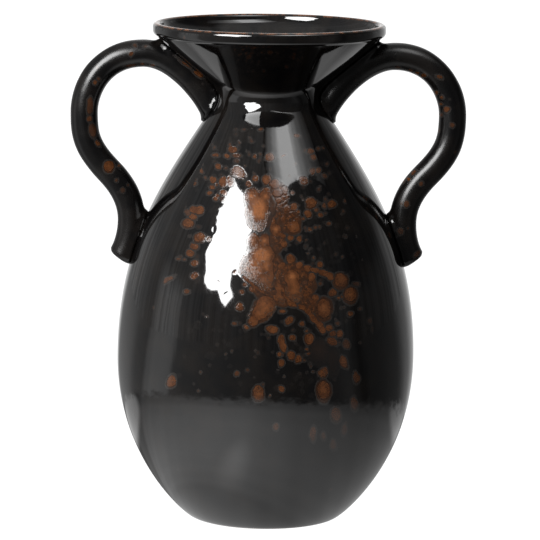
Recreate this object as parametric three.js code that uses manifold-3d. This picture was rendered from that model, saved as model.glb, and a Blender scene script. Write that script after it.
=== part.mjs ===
// A large two-handled floor vase in glazed stoneware, built up the way a potter joins it:
// a foot disc, a coiled and thrown wall, a flaring neck collar, a rolled lip,
// two pulled handles and the clay fillets that lute each handle to the pot.
// Lengths are in millimetres and angles in degrees. Z is up, and the handles lie along X.
import * as THREE from 'three';
import { mergeVertices } from 'three/addons/utils/BufferGeometryUtils.js';
import loadManifold from 'manifold-3d';

// Overall
const vaseHeight = 530;
const handleSpan = 420;

// Foot
const footRadius = 74;
const footRounding = 14;
const footLeavingAngle = 34;
const footPull = 23;
const footRingWidth = 11;
const footRecessDepth = 2.5;
const footRecessBevel = 1.2;
const discThickness = 14;

// Wall
const wallThickness = 8.5;
const bellyRadius = 158.5;
const bellyHeight = 174;
const bellyPullDown = 98;
const bellyPullUp = 125;
const neckSeamDrop = 43.7;
const shoulderSlope = 33;
const shoulderPull = 85;

// Neck collar
const collarRise = 15.7;
const collarFlare = 6.7;
const collarPull = 9;
const throatRadius = 55.2;
const throatDrop = 77.3;
const throatPullDown = 3;
const throatPullUp = 4;
const funnelRise = 14.3;
const funnelFlare = 7.6;
const funnelSlope = 47.7;
const funnelPullDown = 4;
const funnelPull = 18;
const mouthRadius = 121;
const mouthSlope = 44;
const mouthPull = 11;

// Lip
const lipHeight = 12.5;
const lipRadius = 123.5;
const lipThickness = 8.6;
const lipSwell = 4.5;
const lipSoftness = 2;

// Handle, as its centre line in the XZ plane, from the neck out and down to the body
const handleRadius = 14.6;
const handleRootDrop = 29.7;
const handleRootInset = 1.2;
const handleRootAngle = 82;
const handleRootPull = 26.5;
const handleTopOverhang = 12;
const handleTopDrop = 33.6;
const handleTopPullIn = 36.5;
const handleTopPullOut = 42;
const handleReachDrop = 96.5;
const handleReachPullUp = 28;
const handleReachPullDown = 23;
const handleBackReach = 28.5;
const handleBackRise = 56.6;
const handleBackSlope = 42;
const handleBackPullUp = 30;
const handleBackPullDown = 13;
const handleWaistRise = 41.4;
const handleWaistStandOff = 13.9;
const handleWaistPullUp = 29.5;
const handleWaistPullDown = 17;
const handleToeHeight = 277;
const handleToeStandOff = 10.8;
const handleToeKick = 37;
const handleToePull = 6;
const handleToeRounding = 2.5;

// Luting and clearance
const upperFilletRadius = 3.5;
const lowerFilletRadius = 3.5;
const seatGap = 0.3;

// Facets
const turnSegments = 48;
const handleSides = 16;
const filletCurveSteps = 4;
const upperFilletSteps = 18;
const lowerFilletSteps = 10;

// Heights that follow from the overall one
const lipSeatHeight = vaseHeight - lipHeight;
const throatHeight = vaseHeight - throatDrop;
const neckSeamHeight = throatHeight - neckSeamDrop;

const { Manifold, Mesh: ManifoldMesh } = await prepareManifold();

async function prepareManifold() {
  const library = await loadManifold();
  library.setup();
  return library;
}

function point(r, z) {
  return new THREE.Vector2(r, z);
}

// Unit vector in the section plane, tilted outward from upright.
function fromUpright(angle) {
  const turn = THREE.MathUtils.degToRad(angle);
  return point(Math.sin(turn), Math.cos(turn));
}

function bezier(start, startPull, endPull, end) {
  const from = start.clone().add(startPull);
  const to = end.clone().add(endPull);
  return new THREE.CubicBezierCurve(start, from, to, end);
}

function arc(centre, radius, startAngle, endAngle) {
  const start = THREE.MathUtils.degToRad(startAngle);
  const end = THREE.MathUtils.degToRad(endAngle);
  return new THREE.EllipseCurve(centre.x, centre.y, radius, radius, start, end, endAngle < startAngle);
}

// Joins the sampled points of several curves, leaving out the repeated ends.
function sampleChain(parts) {
  const points = [];
  for (const [curve, steps] of parts) {
    const sampled = curve.getPoints(steps);
    points.push(...(points.length ? sampled.slice(1) : sampled));
  }
  return points;
}

// The outside of the pot from the edge of the flat foot up to the seat of the lip.
function outerProfile() {
  const footCentre = point(footRadius, footRounding);
  const footArc = arc(footCentre, footRounding, -90, footLeavingAngle - 90);
  const footEnd = footArc.getPoint(1);
  const belly = point(bellyRadius, bellyHeight);
  const collarFoot = point(throatRadius + collarFlare, throatHeight - collarRise);
  const throat = point(throatRadius, throatHeight);
  const funnelRoot = point(throatRadius + funnelFlare, throatHeight + funnelRise);
  const shoulderward = fromUpright(180 - shoulderSlope);
  const mouthward = fromUpright(funnelSlope);
  const mouth = point(mouthRadius, lipSeatHeight);
  const lowerWall = bezier(
    footEnd,
    fromUpright(90 - footLeavingAngle).multiplyScalar(footPull),
    point(0, -bellyPullDown),
    belly,
  );
  const upperWall = bezier(
    belly,
    point(0, bellyPullUp),
    shoulderward.clone().multiplyScalar(shoulderPull),
    collarFoot,
  );
  const collar = bezier(
    collarFoot,
    shoulderward.clone().multiplyScalar(-collarPull),
    point(0, -throatPullDown),
    throat,
  );
  const waist = bezier(
    throat,
    point(0, throatPullUp),
    mouthward.clone().multiplyScalar(-funnelPullDown),
    funnelRoot,
  );
  const funnel = bezier(
    funnelRoot,
    mouthward.clone().multiplyScalar(funnelPull),
    fromUpright(mouthSlope).multiplyScalar(-mouthPull),
    mouth,
  );
  return sampleChain([[footArc, 3], [lowerWall, 10], [upperWall, 12], [collar, 4], [waist, 4], [funnel, 4]]);
}

// Moves a profile along its own normals: outward for a positive distance.
function offsetProfile(points, distance) {
  return points.map((current, index) => {
    const before = points[Math.max(index - 1, 0)];
    const after = points[Math.min(index + 1, points.length - 1)];
    const along = after.clone().sub(before).normalize();
    return point(current.x + along.y * distance, current.y - along.x * distance);
  });
}

// The stretch of a rising profile between two heights, cut exactly at both.
function between(points, low, high) {
  const cutAt = (height) => {
    const above = points.findIndex((entry, index) => index > 0 && entry.y >= height);
    const start = points[above - 1];
    const end = points[above];
    return start.clone().lerp(end, (height - start.y) / (end.y - start.y));
  };
  const inside = points.filter((entry) => entry.y > low + 0.5 && entry.y < high - 0.5);
  return [cutAt(low), ...inside, cutAt(high)];
}

// A clean closed geometry: shared corners are one vertex and empty triangles are gone.
function cleaned(geometry) {
  const bare = new THREE.BufferGeometry();
  bare.setAttribute('position', geometry.getAttribute('position'));
  bare.setIndex(geometry.getIndex());
  const merged = mergeVertices(bare, 1e-4);
  const index = merged.getIndex().array;
  const kept = [];
  for (let i = 0; i < index.length; i += 3) {
    const [a, b, c] = [index[i], index[i + 1], index[i + 2]];
    if (a !== b && b !== c && c !== a) {
      kept.push(a, b, c);
    }
  }
  merged.setIndex(kept);
  return merged;
}

function toSolid(geometry) {
  const closed = cleaned(geometry);
  const vertProperties = new Float32Array(closed.getAttribute('position').array);
  const triVerts = new Uint32Array(closed.getIndex().array);
  const mesh = new ManifoldMesh({ numProp: 3, vertProperties, triVerts });
  mesh.merge();
  return new Manifold(mesh);
}

function toGeometry(solid) {
  const mesh = solid.getMesh();
  const geometry = new THREE.BufferGeometry();
  geometry.setAttribute('position', new THREE.BufferAttribute(mesh.vertProperties, 3));
  geometry.setIndex(new THREE.BufferAttribute(mesh.triVerts, 1));
  return geometry;
}

// Turns a section about the upright axis. The section runs up its outside.
function turned(section) {
  return cleaned(new THREE.LatheGeometry(section, turnSegments).rotateX(Math.PI / 2));
}

function ringSection(outside, inside) {
  return [...outside, ...inside.slice().reverse(), outside[0].clone()];
}

// Closed skin over a row of rings with equally many corners. An open row gets end caps.
function skinned(rings, isLoop) {
  const sides = rings[0].length;
  const positions = rings.flat().flatMap((corner) => corner.toArray());
  const index = [];
  const rows = isLoop ? rings.length : rings.length - 1;
  for (let row = 0; row < rows; row += 1) {
    const here = row * sides;
    const next = ((row + 1) % rings.length) * sides;
    for (let side = 0; side < sides; side += 1) {
      const turn = (side + 1) % sides;
      index.push(here + side, here + turn, next + turn);
      index.push(here + side, next + turn, next + side);
    }
  }
  if (!isLoop) {
    const last = (rings.length - 1) * sides;
    for (let side = 1; side < sides - 1; side += 1) {
      index.push(0, side + 1, side);
      index.push(last, last + side, last + side + 1);
    }
  }
  const geometry = new THREE.BufferGeometry();
  geometry.setAttribute('position', new THREE.Float32BufferAttribute(positions, 3));
  geometry.setIndex(volumeInside(rings.flat(), index) < 0 ? index.reverse() : index);
  return geometry;
}

// Positive where the triangles of a closed skin face outward.
function volumeInside(corners, index) {
  let sixfold = 0;
  for (let i = 0; i < index.length; i += 3) {
    const [a, b, c] = [corners[index[i]], corners[index[i + 1]], corners[index[i + 2]]];
    sixfold += a.dot(b.clone().cross(c));
  }
  return sixfold / 6;
}

const outside = outerProfile();
const inside = offsetProfile(outside, -wallThickness);

function footDisc() {
  const ringInner = footRadius - footRingWidth;
  const section = [
    point(0, footRecessDepth),
    point(ringInner - footRecessBevel, footRecessDepth),
    point(ringInner, 0),
    ...between(outside, 0, discThickness),
    point(0, discThickness),
  ];
  return turned(section);
}

function wallBetween(low, high) {
  return turned(ringSection(between(outside, low, high), between(inside, low, high)));
}

// The outside of the rolled lip, from its seat over the top to its inner edge.
function lipOutside() {
  const round = lipThickness / 2;
  const seat = point(mouthRadius, lipSeatHeight);
  const flank = point(lipRadius, lipSeatHeight + lipSwell);
  const swell = bezier(seat, point(lipSoftness / 2, 0), point(0, -lipSoftness), flank);
  const roll = arc(point(lipRadius - round, vaseHeight - round), round, 0, 180);
  return sampleChain([[swell, 3], [new THREE.LineCurve(flank, roll.getPoint(0)), 1], [roll, 6]]);
}

function lipCoil() {
  const over = lipOutside();
  const inner = between(inside, 0, lipSeatHeight).at(-1);
  const slope = fromUpright(funnelSlope).multiplyScalar(lipSoftness);
  const drop = bezier(over.at(-1), point(0, -lipSoftness), slope, inner);
  return turned([...over, ...drop.getPoints(3).slice(1), over[0].clone()]);
}

// The solid that the handles and fillets are cut by: the whole pot without its hollow.
function potEnvelope(gap) {
  const lipFlank = lipOutside().filter((entry) => entry.x > mouthRadius);
  const whole = [...outside, ...lipFlank];
  const grown = offsetProfile(whole, gap);
  const section = [point(0, -gap), point(footRadius, -gap), ...grown.slice(1), point(0, grown.at(-1).y)];
  return toSolid(turned(section));
}

// A place outside the wall, level with the given height.
function besideWall(height, standOff) {
  return between(outside, 0, height).at(-1).add(point(standOff, 0));
}

// Centre line of a handle, as points with the direction of travel.
function handleCentreLine() {
  const root = point(throatRadius - handleRootInset, throatHeight - handleRootDrop);
  const top = point(mouthRadius + handleTopOverhang, vaseHeight - handleTopDrop);
  const reach = point(handleSpan / 2 - handleRadius, vaseHeight - handleReachDrop);
  const toe = besideWall(handleToeHeight, handleToeStandOff);
  const waist = besideWall(handleToeHeight + handleWaistRise, handleWaistStandOff);
  const back = waist.clone().add(point(handleBackReach, handleBackRise));
  const backward = fromUpright(handleBackSlope);
  const kick = fromUpright(180 - handleToeKick);
  const stretches = [
    [bezier(root, fromUpright(90 - handleRootAngle).multiplyScalar(handleRootPull), point(-handleTopPullIn, 0), top), 10],
    [bezier(top, point(handleTopPullOut, 0), point(0, handleReachPullUp), reach), 8],
    [bezier(reach, point(0, -handleReachPullDown), backward.clone().multiplyScalar(handleBackPullUp), back), 6],
    [bezier(back, backward.clone().multiplyScalar(-handleBackPullDown), point(0, handleWaistPullUp), waist), 6],
    [bezier(waist, point(0, -handleWaistPullDown), kick.clone().multiplyScalar(-handleToePull), toe), 6],
  ];
  const stations = [];
  for (const [curve, steps] of stretches) {
    for (let step = stations.length ? 1 : 0; step <= steps; step += 1) {
      const t = step / steps;
      stations.push({ at: curve.getPoint(t), along: curve.getTangent(t) });
    }
  }
  return stations;
}

const centreLine = handleCentreLine();

function ringAround(at, along, radius) {
  const ring = [];
  for (let side = 0; side < handleSides; side += 1) {
    const turn = (2 * Math.PI * side) / handleSides;
    const sideways = Math.cos(turn) * radius;
    ring.push(new THREE.Vector3(
      at.x - along.y * sideways,
      Math.sin(turn) * radius,
      at.y + along.x * sideways,
    ));
  }
  return ring;
}

// A round rod along the centre line, with the edge of its flat toe rounded over.
function handleRod(growth) {
  const toe = centreLine.at(-1);
  const rings = centreLine.slice(0, -1).map(({ at, along }) => ringAround(at, along, handleRadius + growth));
  for (const turn of [0, 45, 90]) {
    const swing = THREE.MathUtils.degToRad(turn);
    const inward = handleToeRounding * (1 - Math.cos(swing));
    const back = handleToeRounding * (1 - Math.sin(swing)) - growth;
    const at = toe.at.clone().addScaledVector(toe.along, -back);
    rings.push(ringAround(at, toe.along, handleRadius + growth - inward));
  }
  return toSolid(skinned(rings, false));
}

// Nearest place on a chain of points, with the gap from it and the way out of it.
function nearestOn(points, place) {
  let best = { gap: Infinity };
  for (let i = 1; i < points.length; i += 1) {
    const start = points[i - 1];
    const span = points[i].clone().sub(start);
    const share = THREE.MathUtils.clamp(place.clone().sub(start).dot(span) / span.lengthSq(), 0, 1);
    const foot = start.clone().addScaledVector(span, share);
    const gap = foot.distanceTo(place);
    if (gap < best.gap) {
      best = { gap, foot, span };
    }
  }
  return best;
}

// Signed distance from the outside of the pot, and the direction out of it.
function fromPot(place) {
  const r = Math.hypot(place.x, place.y);
  const { foot, span } = nearestOn(outside, point(r, place.z));
  const out = point(span.y, -span.x).normalize();
  const distance = (r - foot.x) * out.x + (place.z - foot.y) * out.y;
  const normal = new THREE.Vector3((out.x * place.x) / r, (out.x * place.y) / r, out.y);
  return { distance, normal };
}

// Signed distance from the skin of the handle, and the direction out of it.
const centreChain = centreLine.map(({ at }) => new THREE.Vector3(at.x, 0, at.y));
function fromHandle(place) {
  const { gap, foot } = nearestOn(centreChain, place);
  return { distance: gap - handleRadius, normal: place.clone().sub(foot).normalize() };
}

// Slides a place onto the line that lies equally far from the skins of handle and pot.
function alongBoth(place, standOff) {
  const moved = place.clone();
  for (let round = 0; round < 12; round += 1) {
    const pot = fromPot(moved);
    const rod = fromHandle(moved);
    const shared = pot.normal.dot(rod.normal);
    const scale = 1 / Math.max(1 - shared * shared, 0.05);
    const potError = pot.distance - standOff;
    const rodError = rod.distance - standOff;
    moved.addScaledVector(pot.normal, -(potError - shared * rodError) * scale);
    moved.addScaledVector(rod.normal, -(rodError - shared * potError) * scale);
  }
  return moved;
}

// Half of the path of a ball that rolls in the crease, on the side of positive Y, from the crotch on.
function rollingPath(crotch, radius, steps, hasEnded) {
  const stride = 1.5;
  const longest = 400;
  const centres = [alongBoth(crotch, radius).setY(0)];
  let heading = new THREE.Vector3(0, 1, 0);
  while (!hasEnded(centres.at(-1)) && centres.length < longest) {
    const here = centres.at(-1);
    const forward = fromPot(here).normal.cross(fromHandle(here).normal).normalize();
    heading = forward.dot(heading) < 0 ? forward.negate() : forward;
    centres.push(alongBoth(here.clone().addScaledVector(heading, stride), radius));
  }
  return new THREE.CatmullRomCurve3(centres.slice(0, -1)).getSpacedPoints(steps);
}

// One slice of a fillet: hollow where the ball rolls, its back and edges sunk in pot and handle.
function filletSlice(centre, radius) {
  const sink = 1;
  const toPot = fromPot(centre).normal.negate();
  const toRod = fromHandle(centre).normal.negate();
  const swing = toRod.angleTo(toPot);
  const turnAxis = toRod.clone().cross(toPot).normalize();
  const crease = alongBoth(centre, 0);
  const inward = toPot.clone().add(toRod).normalize();
  const corners = [crease.addScaledVector(inward, 3 * sink)];
  for (let step = 0; step <= filletCurveSteps; step += 1) {
    const reach = step === 0 || step === filletCurveSteps ? radius + sink : radius;
    const spoke = toRod.clone().applyAxisAngle(turnAxis, (swing * step) / filletCurveSteps);
    corners.push(centre.clone().addScaledVector(spoke, reach));
  }
  return corners;
}

// A fillet of clay worked into the crease, trimmed to lie against both handle and pot.
function lutingFillet(half, isLoop, radius) {
  const mirrored = half.slice(1, isLoop ? -1 : undefined).reverse().map((centre) => centre.clone().setY(-centre.y));
  const slices = [...mirrored, ...half].map((centre) => filletSlice(centre, radius));
  return toSolid(skinned(slices, isLoop)).subtract(potEnvelope(seatGap)).subtract(handleRod(seatGap));
}

function upperFillet() {
  const root = centreLine[0].at;
  const crotch = new THREE.Vector3(root.x + handleRadius + upperFilletRadius, 0, root.y);
  const half = rollingPath(crotch, upperFilletRadius, upperFilletSteps, (centre) => centre.y < 0);
  half.at(-1).setY(0);
  return lutingFillet(half, true, upperFilletRadius);
}

function lowerFillet() {
  const waist = besideWall(handleToeHeight + handleWaistRise, handleWaistStandOff);
  const crotch = new THREE.Vector3(waist.x - handleRadius, 0, waist.y + handleRadius);
  const toe = centreLine.at(-1);
  const hasPassedToe = (centre) => {
    const reached = point(centre.x, centre.z).sub(toe.at).dot(toe.along);
    return reached > -handleToeRounding;
  };
  const half = rollingPath(crotch, lowerFilletRadius, lowerFilletSteps, hasPassedToe);
  return lutingFillet(half, false, lowerFilletRadius);
}

const glaze = { color: 0x17120f, roughness: 0.12, metalness: 0 };
const satinGlaze = { color: 0x1c1613, roughness: 0.28, metalness: 0 };
const bareClay = { color: 0x8d7a66, roughness: 0.85, metalness: 0 };

function piece(name, geometry, finish) {
  const mesh = new THREE.Mesh(geometry, new THREE.MeshStandardMaterial(finish));
  mesh.name = name;
  return mesh;
}

// One handle with its two fillets, facing positive X.
function handleSide(side) {
  const group = new THREE.Group();
  const handle = handleRod(0).subtract(potEnvelope(seatGap));
  group.add(piece(`handle_${side}`, toGeometry(handle), satinGlaze));
  group.add(piece(`upper_luting_${side}`, toGeometry(upperFillet()), glaze));
  group.add(piece(`lower_luting_${side}`, toGeometry(lowerFillet()), glaze));
  return group;
}

const vase = new THREE.Group();
vase.name = 'floor_vase';
vase.add(piece('foot_disc', footDisc(), bareClay));
vase.add(piece('body_wall', wallBetween(discThickness, neckSeamHeight), glaze));
vase.add(piece('neck_collar', wallBetween(neckSeamHeight, lipSeatHeight), glaze));
vase.add(piece('lip_coil', lipCoil(), glaze));
const rightSide = handleSide('right');
const leftSide = handleSide('left');
leftSide.rotation.z = Math.PI;
vase.add(rightSide, leftSide);

export default vase;
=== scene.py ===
"""Looks of a tall two-handled floor vase in stoneware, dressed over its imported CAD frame.

The pot is thrown and spun from the same section as the CAD solids, the blistered splash of
glaze on its front is raised out of its skin, and each pulled handle is worked onto the pot
with a soft fillet. Lengths are in metres, Z is up and the front of the pot faces -Y.
"""

from __future__ import annotations

import itertools
import logging
import math
from dataclasses import dataclass
from enum import Enum

import bmesh
import bpy
import numpy as np
from mathutils import Matrix, Vector


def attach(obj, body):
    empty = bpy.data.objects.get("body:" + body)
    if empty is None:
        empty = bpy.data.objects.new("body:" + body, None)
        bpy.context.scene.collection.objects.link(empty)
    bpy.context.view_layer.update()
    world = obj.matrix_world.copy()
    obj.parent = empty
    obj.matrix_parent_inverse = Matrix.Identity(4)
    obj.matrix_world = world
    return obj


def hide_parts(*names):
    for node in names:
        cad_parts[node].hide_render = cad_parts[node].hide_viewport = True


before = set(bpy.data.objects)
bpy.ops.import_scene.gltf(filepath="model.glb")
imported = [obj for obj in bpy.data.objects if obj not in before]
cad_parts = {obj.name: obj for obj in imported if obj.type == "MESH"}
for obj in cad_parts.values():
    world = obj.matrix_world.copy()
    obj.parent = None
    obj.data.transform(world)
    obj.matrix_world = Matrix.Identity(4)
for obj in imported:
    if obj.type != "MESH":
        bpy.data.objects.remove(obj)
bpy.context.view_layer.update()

log = logging.getLogger("floor_vase")

MM = 0.001
PICTURE_SIZE = 540
HASH_MIX = (127.1, 311.7, 74.7)
HASH_SCALE = 43758.5453
SEED_SHIFT = 17.31
SEED_TURN = 0.713

Pair = tuple[float, float]
Triple = tuple[float, float, float]
Colour = tuple[float, float, float, float]
Stops = tuple[Pair, ...]
Node = bpy.types.Node
Socket = bpy.types.NodeSocket
Material = bpy.types.Material
Piece = bpy.types.Object
Array = np.ndarray


class Side(Enum):
    """The two sides that carry a handle, with the turn about the upright axis to reach each."""

    RIGHT = 0.0
    LEFT = math.pi


class Slot(Enum):
    """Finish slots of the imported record."""

    WALL = "blistered_glaze"
    HANDLE = "handle_glaze"
    FOOT = "bare_clay"


# Curves and noise.


def from_upright(angle: float) -> Array:
    """Gives the unit vector of the section plane that leans out from upright by some degrees."""
    turn = math.radians(angle)
    return np.array([math.sin(turn), math.cos(turn)])


def bezier(
    start: Array,
    start_pull: Array,
    end_pull: Array,
    end: Array,
    steps: int,
) -> Array:
    """Samples a cubic curve between two points of the section plane.

    Args:
        start: First point.
        start_pull: Way from the first point to its handle.
        end_pull: Way from the last point to its handle.
        end: Last point.
        steps: Number of stretches.

    Returns:
        The points, both ends included.
    """
    t = np.linspace(0, 1, steps + 1)[:, None]
    away, back = start + start_pull, end + end_pull
    return (1 - t) ** 3 * start + 3 * t * (1 - t) ** 2 * away + 3 * t**2 * (1 - t) * back + t**3 * end


def arc(centre: Array, radius: float, first: float, last: float, steps: int) -> Array:
    """Samples a circular arc of the section plane.

    Args:
        centre: Its centre.
        radius: Its radius.
        first: Starting angle in degrees.
        last: Ending angle in degrees.
        steps: Number of stretches.

    Returns:
        The points, both ends included.
    """
    turn = np.radians(np.linspace(first, last, steps + 1))
    return centre + radius * np.column_stack([np.cos(turn), np.sin(turn)])


def joined(*parts: Array) -> Array:
    """Joins chains that each start where the one before ends, without the repeated ends."""
    return np.vstack([parts[0], *[part[1:] for part in parts[1:]]])


def run_length(chain: Array) -> Array:
    """Measures how far each point of a chain lies along it."""
    return np.concatenate([[0.0], np.cumsum(np.linalg.norm(np.diff(chain, axis=0), axis=1))])


def respaced(chain: Array, spacing: float) -> Array:
    """Spaces the points of a chain evenly.

    Args:
        chain: The points.
        spacing: Distance wanted between neighbours.

    Returns:
        The new points, both ends kept.
    """
    run = run_length(chain)
    count = max(2, round(run[-1] / spacing)) + 1
    where = np.linspace(0, run[-1], count)
    return np.column_stack([np.interp(where, run, chain[:, axis]) for axis in range(chain.shape[1])])


def outward(chain: Array) -> Array:
    """Finds the way out of the clay at each point of a rising section.

    Args:
        chain: The points of the section.

    Returns:
        Unit vectors square to the chain.
    """
    along = np.gradient(chain, axis=0)
    out = np.column_stack([along[:, 1], -along[:, 0]])
    return out / np.linalg.norm(out, axis=1)[:, None]


def smooth_step(low: float, high: float, value: Array) -> Array:
    """Rises softly from 0 at the low value to 1 at the high one."""
    share = np.clip((value - low) / (high - low), 0, 1)
    return share * share * (3 - 2 * share)


def lattice_noise(places: Array, size: float, seed: int) -> Array:
    """Gives soft unevenness that is the same on every run.

    Args:
        places: Points, one a row, with two or three coordinates.
        size: Width of one swell, in the unit of the points.
        seed: Picks another pattern.

    Returns:
        A value from -1 to 1 for each point.
    """
    scaled = places / size + seed * SEED_SHIFT
    cell = np.floor(scaled)
    ease = scaled - cell
    ease = ease * ease * (3 - 2 * ease)
    total = np.zeros(len(places))
    mix = np.array(HASH_MIX)[: places.shape[1]]
    for corner in itertools.product((0, 1), repeat=places.shape[1]):
        weight = np.prod(np.where(np.array(corner) == 1, ease, 1 - ease), axis=1)
        draw = np.sin((cell + corner) @ mix + seed * SEED_TURN) * HASH_SCALE
        total += weight * ((draw - np.floor(draw)) * 2 - 1)
    return total


# Camera.


@dataclass(frozen=True)
class PictureCamera:
    """The camera of the photograph, which also says in which pixel a place is seen."""

    place: Triple = (0.0, -4.0, 0.878)
    tilt_down: float = 8.70
    swing: float = -0.054
    roll: float = 0.72
    lens: float = 252.63
    sensor: float = 36.0

    def matrix(self) -> Matrix:
        """Builds the camera's place and turn in the row frame."""
        swing = Matrix.Rotation(math.radians(self.swing), 4, "Z")
        pitch = Matrix.Rotation(math.radians(90 - self.tilt_down), 4, "X")
        roll = Matrix.Rotation(math.radians(self.roll), 4, "Z")
        return Matrix.Translation(self.place) @ swing @ pitch @ roll

    def build(self) -> Piece:
        """Adds the camera to the scene.

        Returns:
            The camera object.
        """
        bpy.ops.object.camera_add()
        camera = bpy.context.object
        camera.name = "picture_camera"
        camera.data.lens = self.lens
        camera.data.sensor_width = self.sensor
        camera.data.clip_end = 100
        camera.matrix_world = self.matrix()
        bpy.context.scene.camera = camera
        return camera

    def pixels(self, places: Array) -> Array:
        """Says where places in the row frame are seen.

        Args:
            places: Points, one a row.

        Returns:
            Their pixels, from the upper left corner of the picture.
        """
        into = np.array(self.matrix().inverted())
        seen = places @ into[:3, :3].T + into[:3, 3]
        focal = self.lens / self.sensor * PICTURE_SIZE
        half = PICTURE_SIZE / 2
        right, up = (focal * seen[:, axis] / -seen[:, 2] for axis in (0, 1))
        return np.column_stack([half + right, half - up])

    def facing(self, places: Array, normals: Array) -> Array:
        """Says how squarely a surface faces the camera.

        Args:
            places: Points of the surface.
            normals: Its unit normals there.

        Returns:
            1 where it faces the camera, 0 at its outline and less behind it.
        """
        to_camera = np.array(self.place) - places
        to_camera /= np.linalg.norm(to_camera, axis=1)[:, None]
        return np.sum(to_camera * normals, axis=1)


# Blisters of the glaze.


@dataclass(frozen=True)
class Blister:
    """One bubble of glaze that rose and healed, placed in the picture.

    x and y are the pixel of its middle, wide and tall its size in pixels, tilt turns it
    clockwise in degrees, crater is the depth of the sunk middle as a share of its rise,
    tone runs from 1, full brown, to 0, only a grey swelling, and above 1, up to 1.5, for
    a paler brown, frost from 0 to 1 is how far it is a frosted grey in place of brown, and
    relief scales how far it stands out, below 0 for one that sank into a dent. One that is
    under others only fills the gaps between them with thin dark brown, and one on top shows
    over thicker ones.
    """

    x: float
    y: float
    wide: float
    tall: float
    tone: float = 1.0
    tilt: float = 0.0
    crater: float = 0.0
    relief: float = 1.0
    frost: float = 0.0
    under: bool = False
    on_top: bool = False

    def ways(self, pixels: Array) -> tuple[Array, Array]:
        """Measures the way from its middle to each place along its two axes.

        Args:
            pixels: The places.

        Returns:
            The ways across and down, as shares of half its size.
        """
        way = pixels - (self.x, self.y)
        turn = math.radians(self.tilt)
        across = way[:, 0] * math.cos(turn) + way[:, 1] * math.sin(turn)
        down = -way[:, 0] * math.sin(turn) + way[:, 1] * math.cos(turn)
        return across / (self.wide / 2), down / (self.tall / 2)


Body = tuple[Blister, ...]


HEART: Body = (
    Blister(258.5, 212, 26, 42, tone=1.5, tilt=3, frost=0.75),
    Blister(252, 197.5, 18, 22, tone=1.5, tilt=-10),
    Blister(265.8, 196.5, 13, 18, tone=1.5, tilt=8),
    Blister(259, 204.5, 24, 19, tone=1.5),
    Blister(258.5, 212.5, 13, 20, tone=1.5),
)

HEART_FLANK: Body = (
    Blister(273, 206, 9, 27, tone=0.35, tilt=-8),
    Blister(268, 222, 9, 18, tone=0.3, tilt=25),
)

BIG_PATCH: Body = (
    Blister(254, 270, 30, 34, tone=1.2, tilt=-25, frost=0.68),
    Blister(264, 281, 24, 19, tone=1.0, tilt=35, frost=0.55),
    Blister(252.7, 242, 14, 20, tone=1.5, tilt=10),
    Blister(264.5, 242, 14, 18, tone=1.5, tilt=-5),
    Blister(262, 256, 30, 27, tone=1.4, frost=0.1),
    Blister(266, 268, 19, 24, tone=1.3, tilt=-12, frost=0.2),
    Blister(270, 278, 10, 13, tone=1.1, tilt=-20, frost=0.35),
)

PENTAGON: Body = (
    Blister(294, 291, 20, 26, tone=0.8, tilt=-5, frost=0.65),
    Blister(292, 278.5, 21, 20, tone=1.4),
    Blister(293, 286, 12, 15, tone=1.3),
)

WEDGE: Body = (
    Blister(281, 297, 15, 15, tone=0.9, tilt=10, frost=0.6),
    Blister(279.5, 289, 11, 17, tone=1.2, tilt=-25),
)

LOWER_LOBE: Body = (
    Blister(265.5, 309, 20, 29, tone=0.95, tilt=35, frost=0.45),
    Blister(263, 304.5, 17, 23, tone=1.2, tilt=25),
    Blister(258.5, 313.5, 17, 17, tone=1.1, tilt=30),
    Blister(253, 321.5, 11, 11),
)

UPPER_VEIL: Body = (
    Blister(279, 196, 20, 30, tone=0.8, tilt=-8, under=True),
    Blister(280, 214, 22, 24, tone=0.8, under=True),
    Blister(291, 222, 22, 26, tone=0.8, under=True),
    Blister(277, 240, 16, 26, tone=0.8, under=True),
)

LOWER_VEIL: Body = (
    Blister(277, 272, 18, 40, tone=0.8, tilt=-8, under=True),
    Blister(293, 279, 32, 34, tone=0.8, under=True),
    Blister(281, 297, 34, 20, tone=0.8, tilt=5, under=True),
    Blister(306, 286, 22, 22, tone=0.8, under=True),
    Blister(309, 304, 16, 22, tone=0.8, tilt=-35, under=True),
    Blister(262, 292, 22, 14, tone=0.7, tilt=30, under=True),
)

UPPER_RIDGE: Body = (
    Blister(307.4, 268.3, 10, 8),
    Blister(314.5, 270.5, 11, 6, tilt=15),
    Blister(323, 273, 11, 6, tilt=18),
    Blister(330.5, 277, 10, 7, tilt=32),
)

LOWER_RIDGE: Body = (
    Blister(302, 307.5, 11, 7, tilt=20),
    Blister(308.5, 312, 10, 7, tilt=40),
    Blister(314, 318.5, 11, 7.5, tilt=50),
    Blister(319.5, 325, 11, 8.5, tilt=52),
    Blister(323, 330, 8, 8, tilt=40),
)

LONG_CREASE: Body = (
    Blister(247, 280.3, 17, 3.2, tone=1.3, tilt=39, on_top=True),
    Blister(258.5, 289.8, 18, 3.4, tone=1.3, tilt=39, on_top=True),
)

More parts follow.
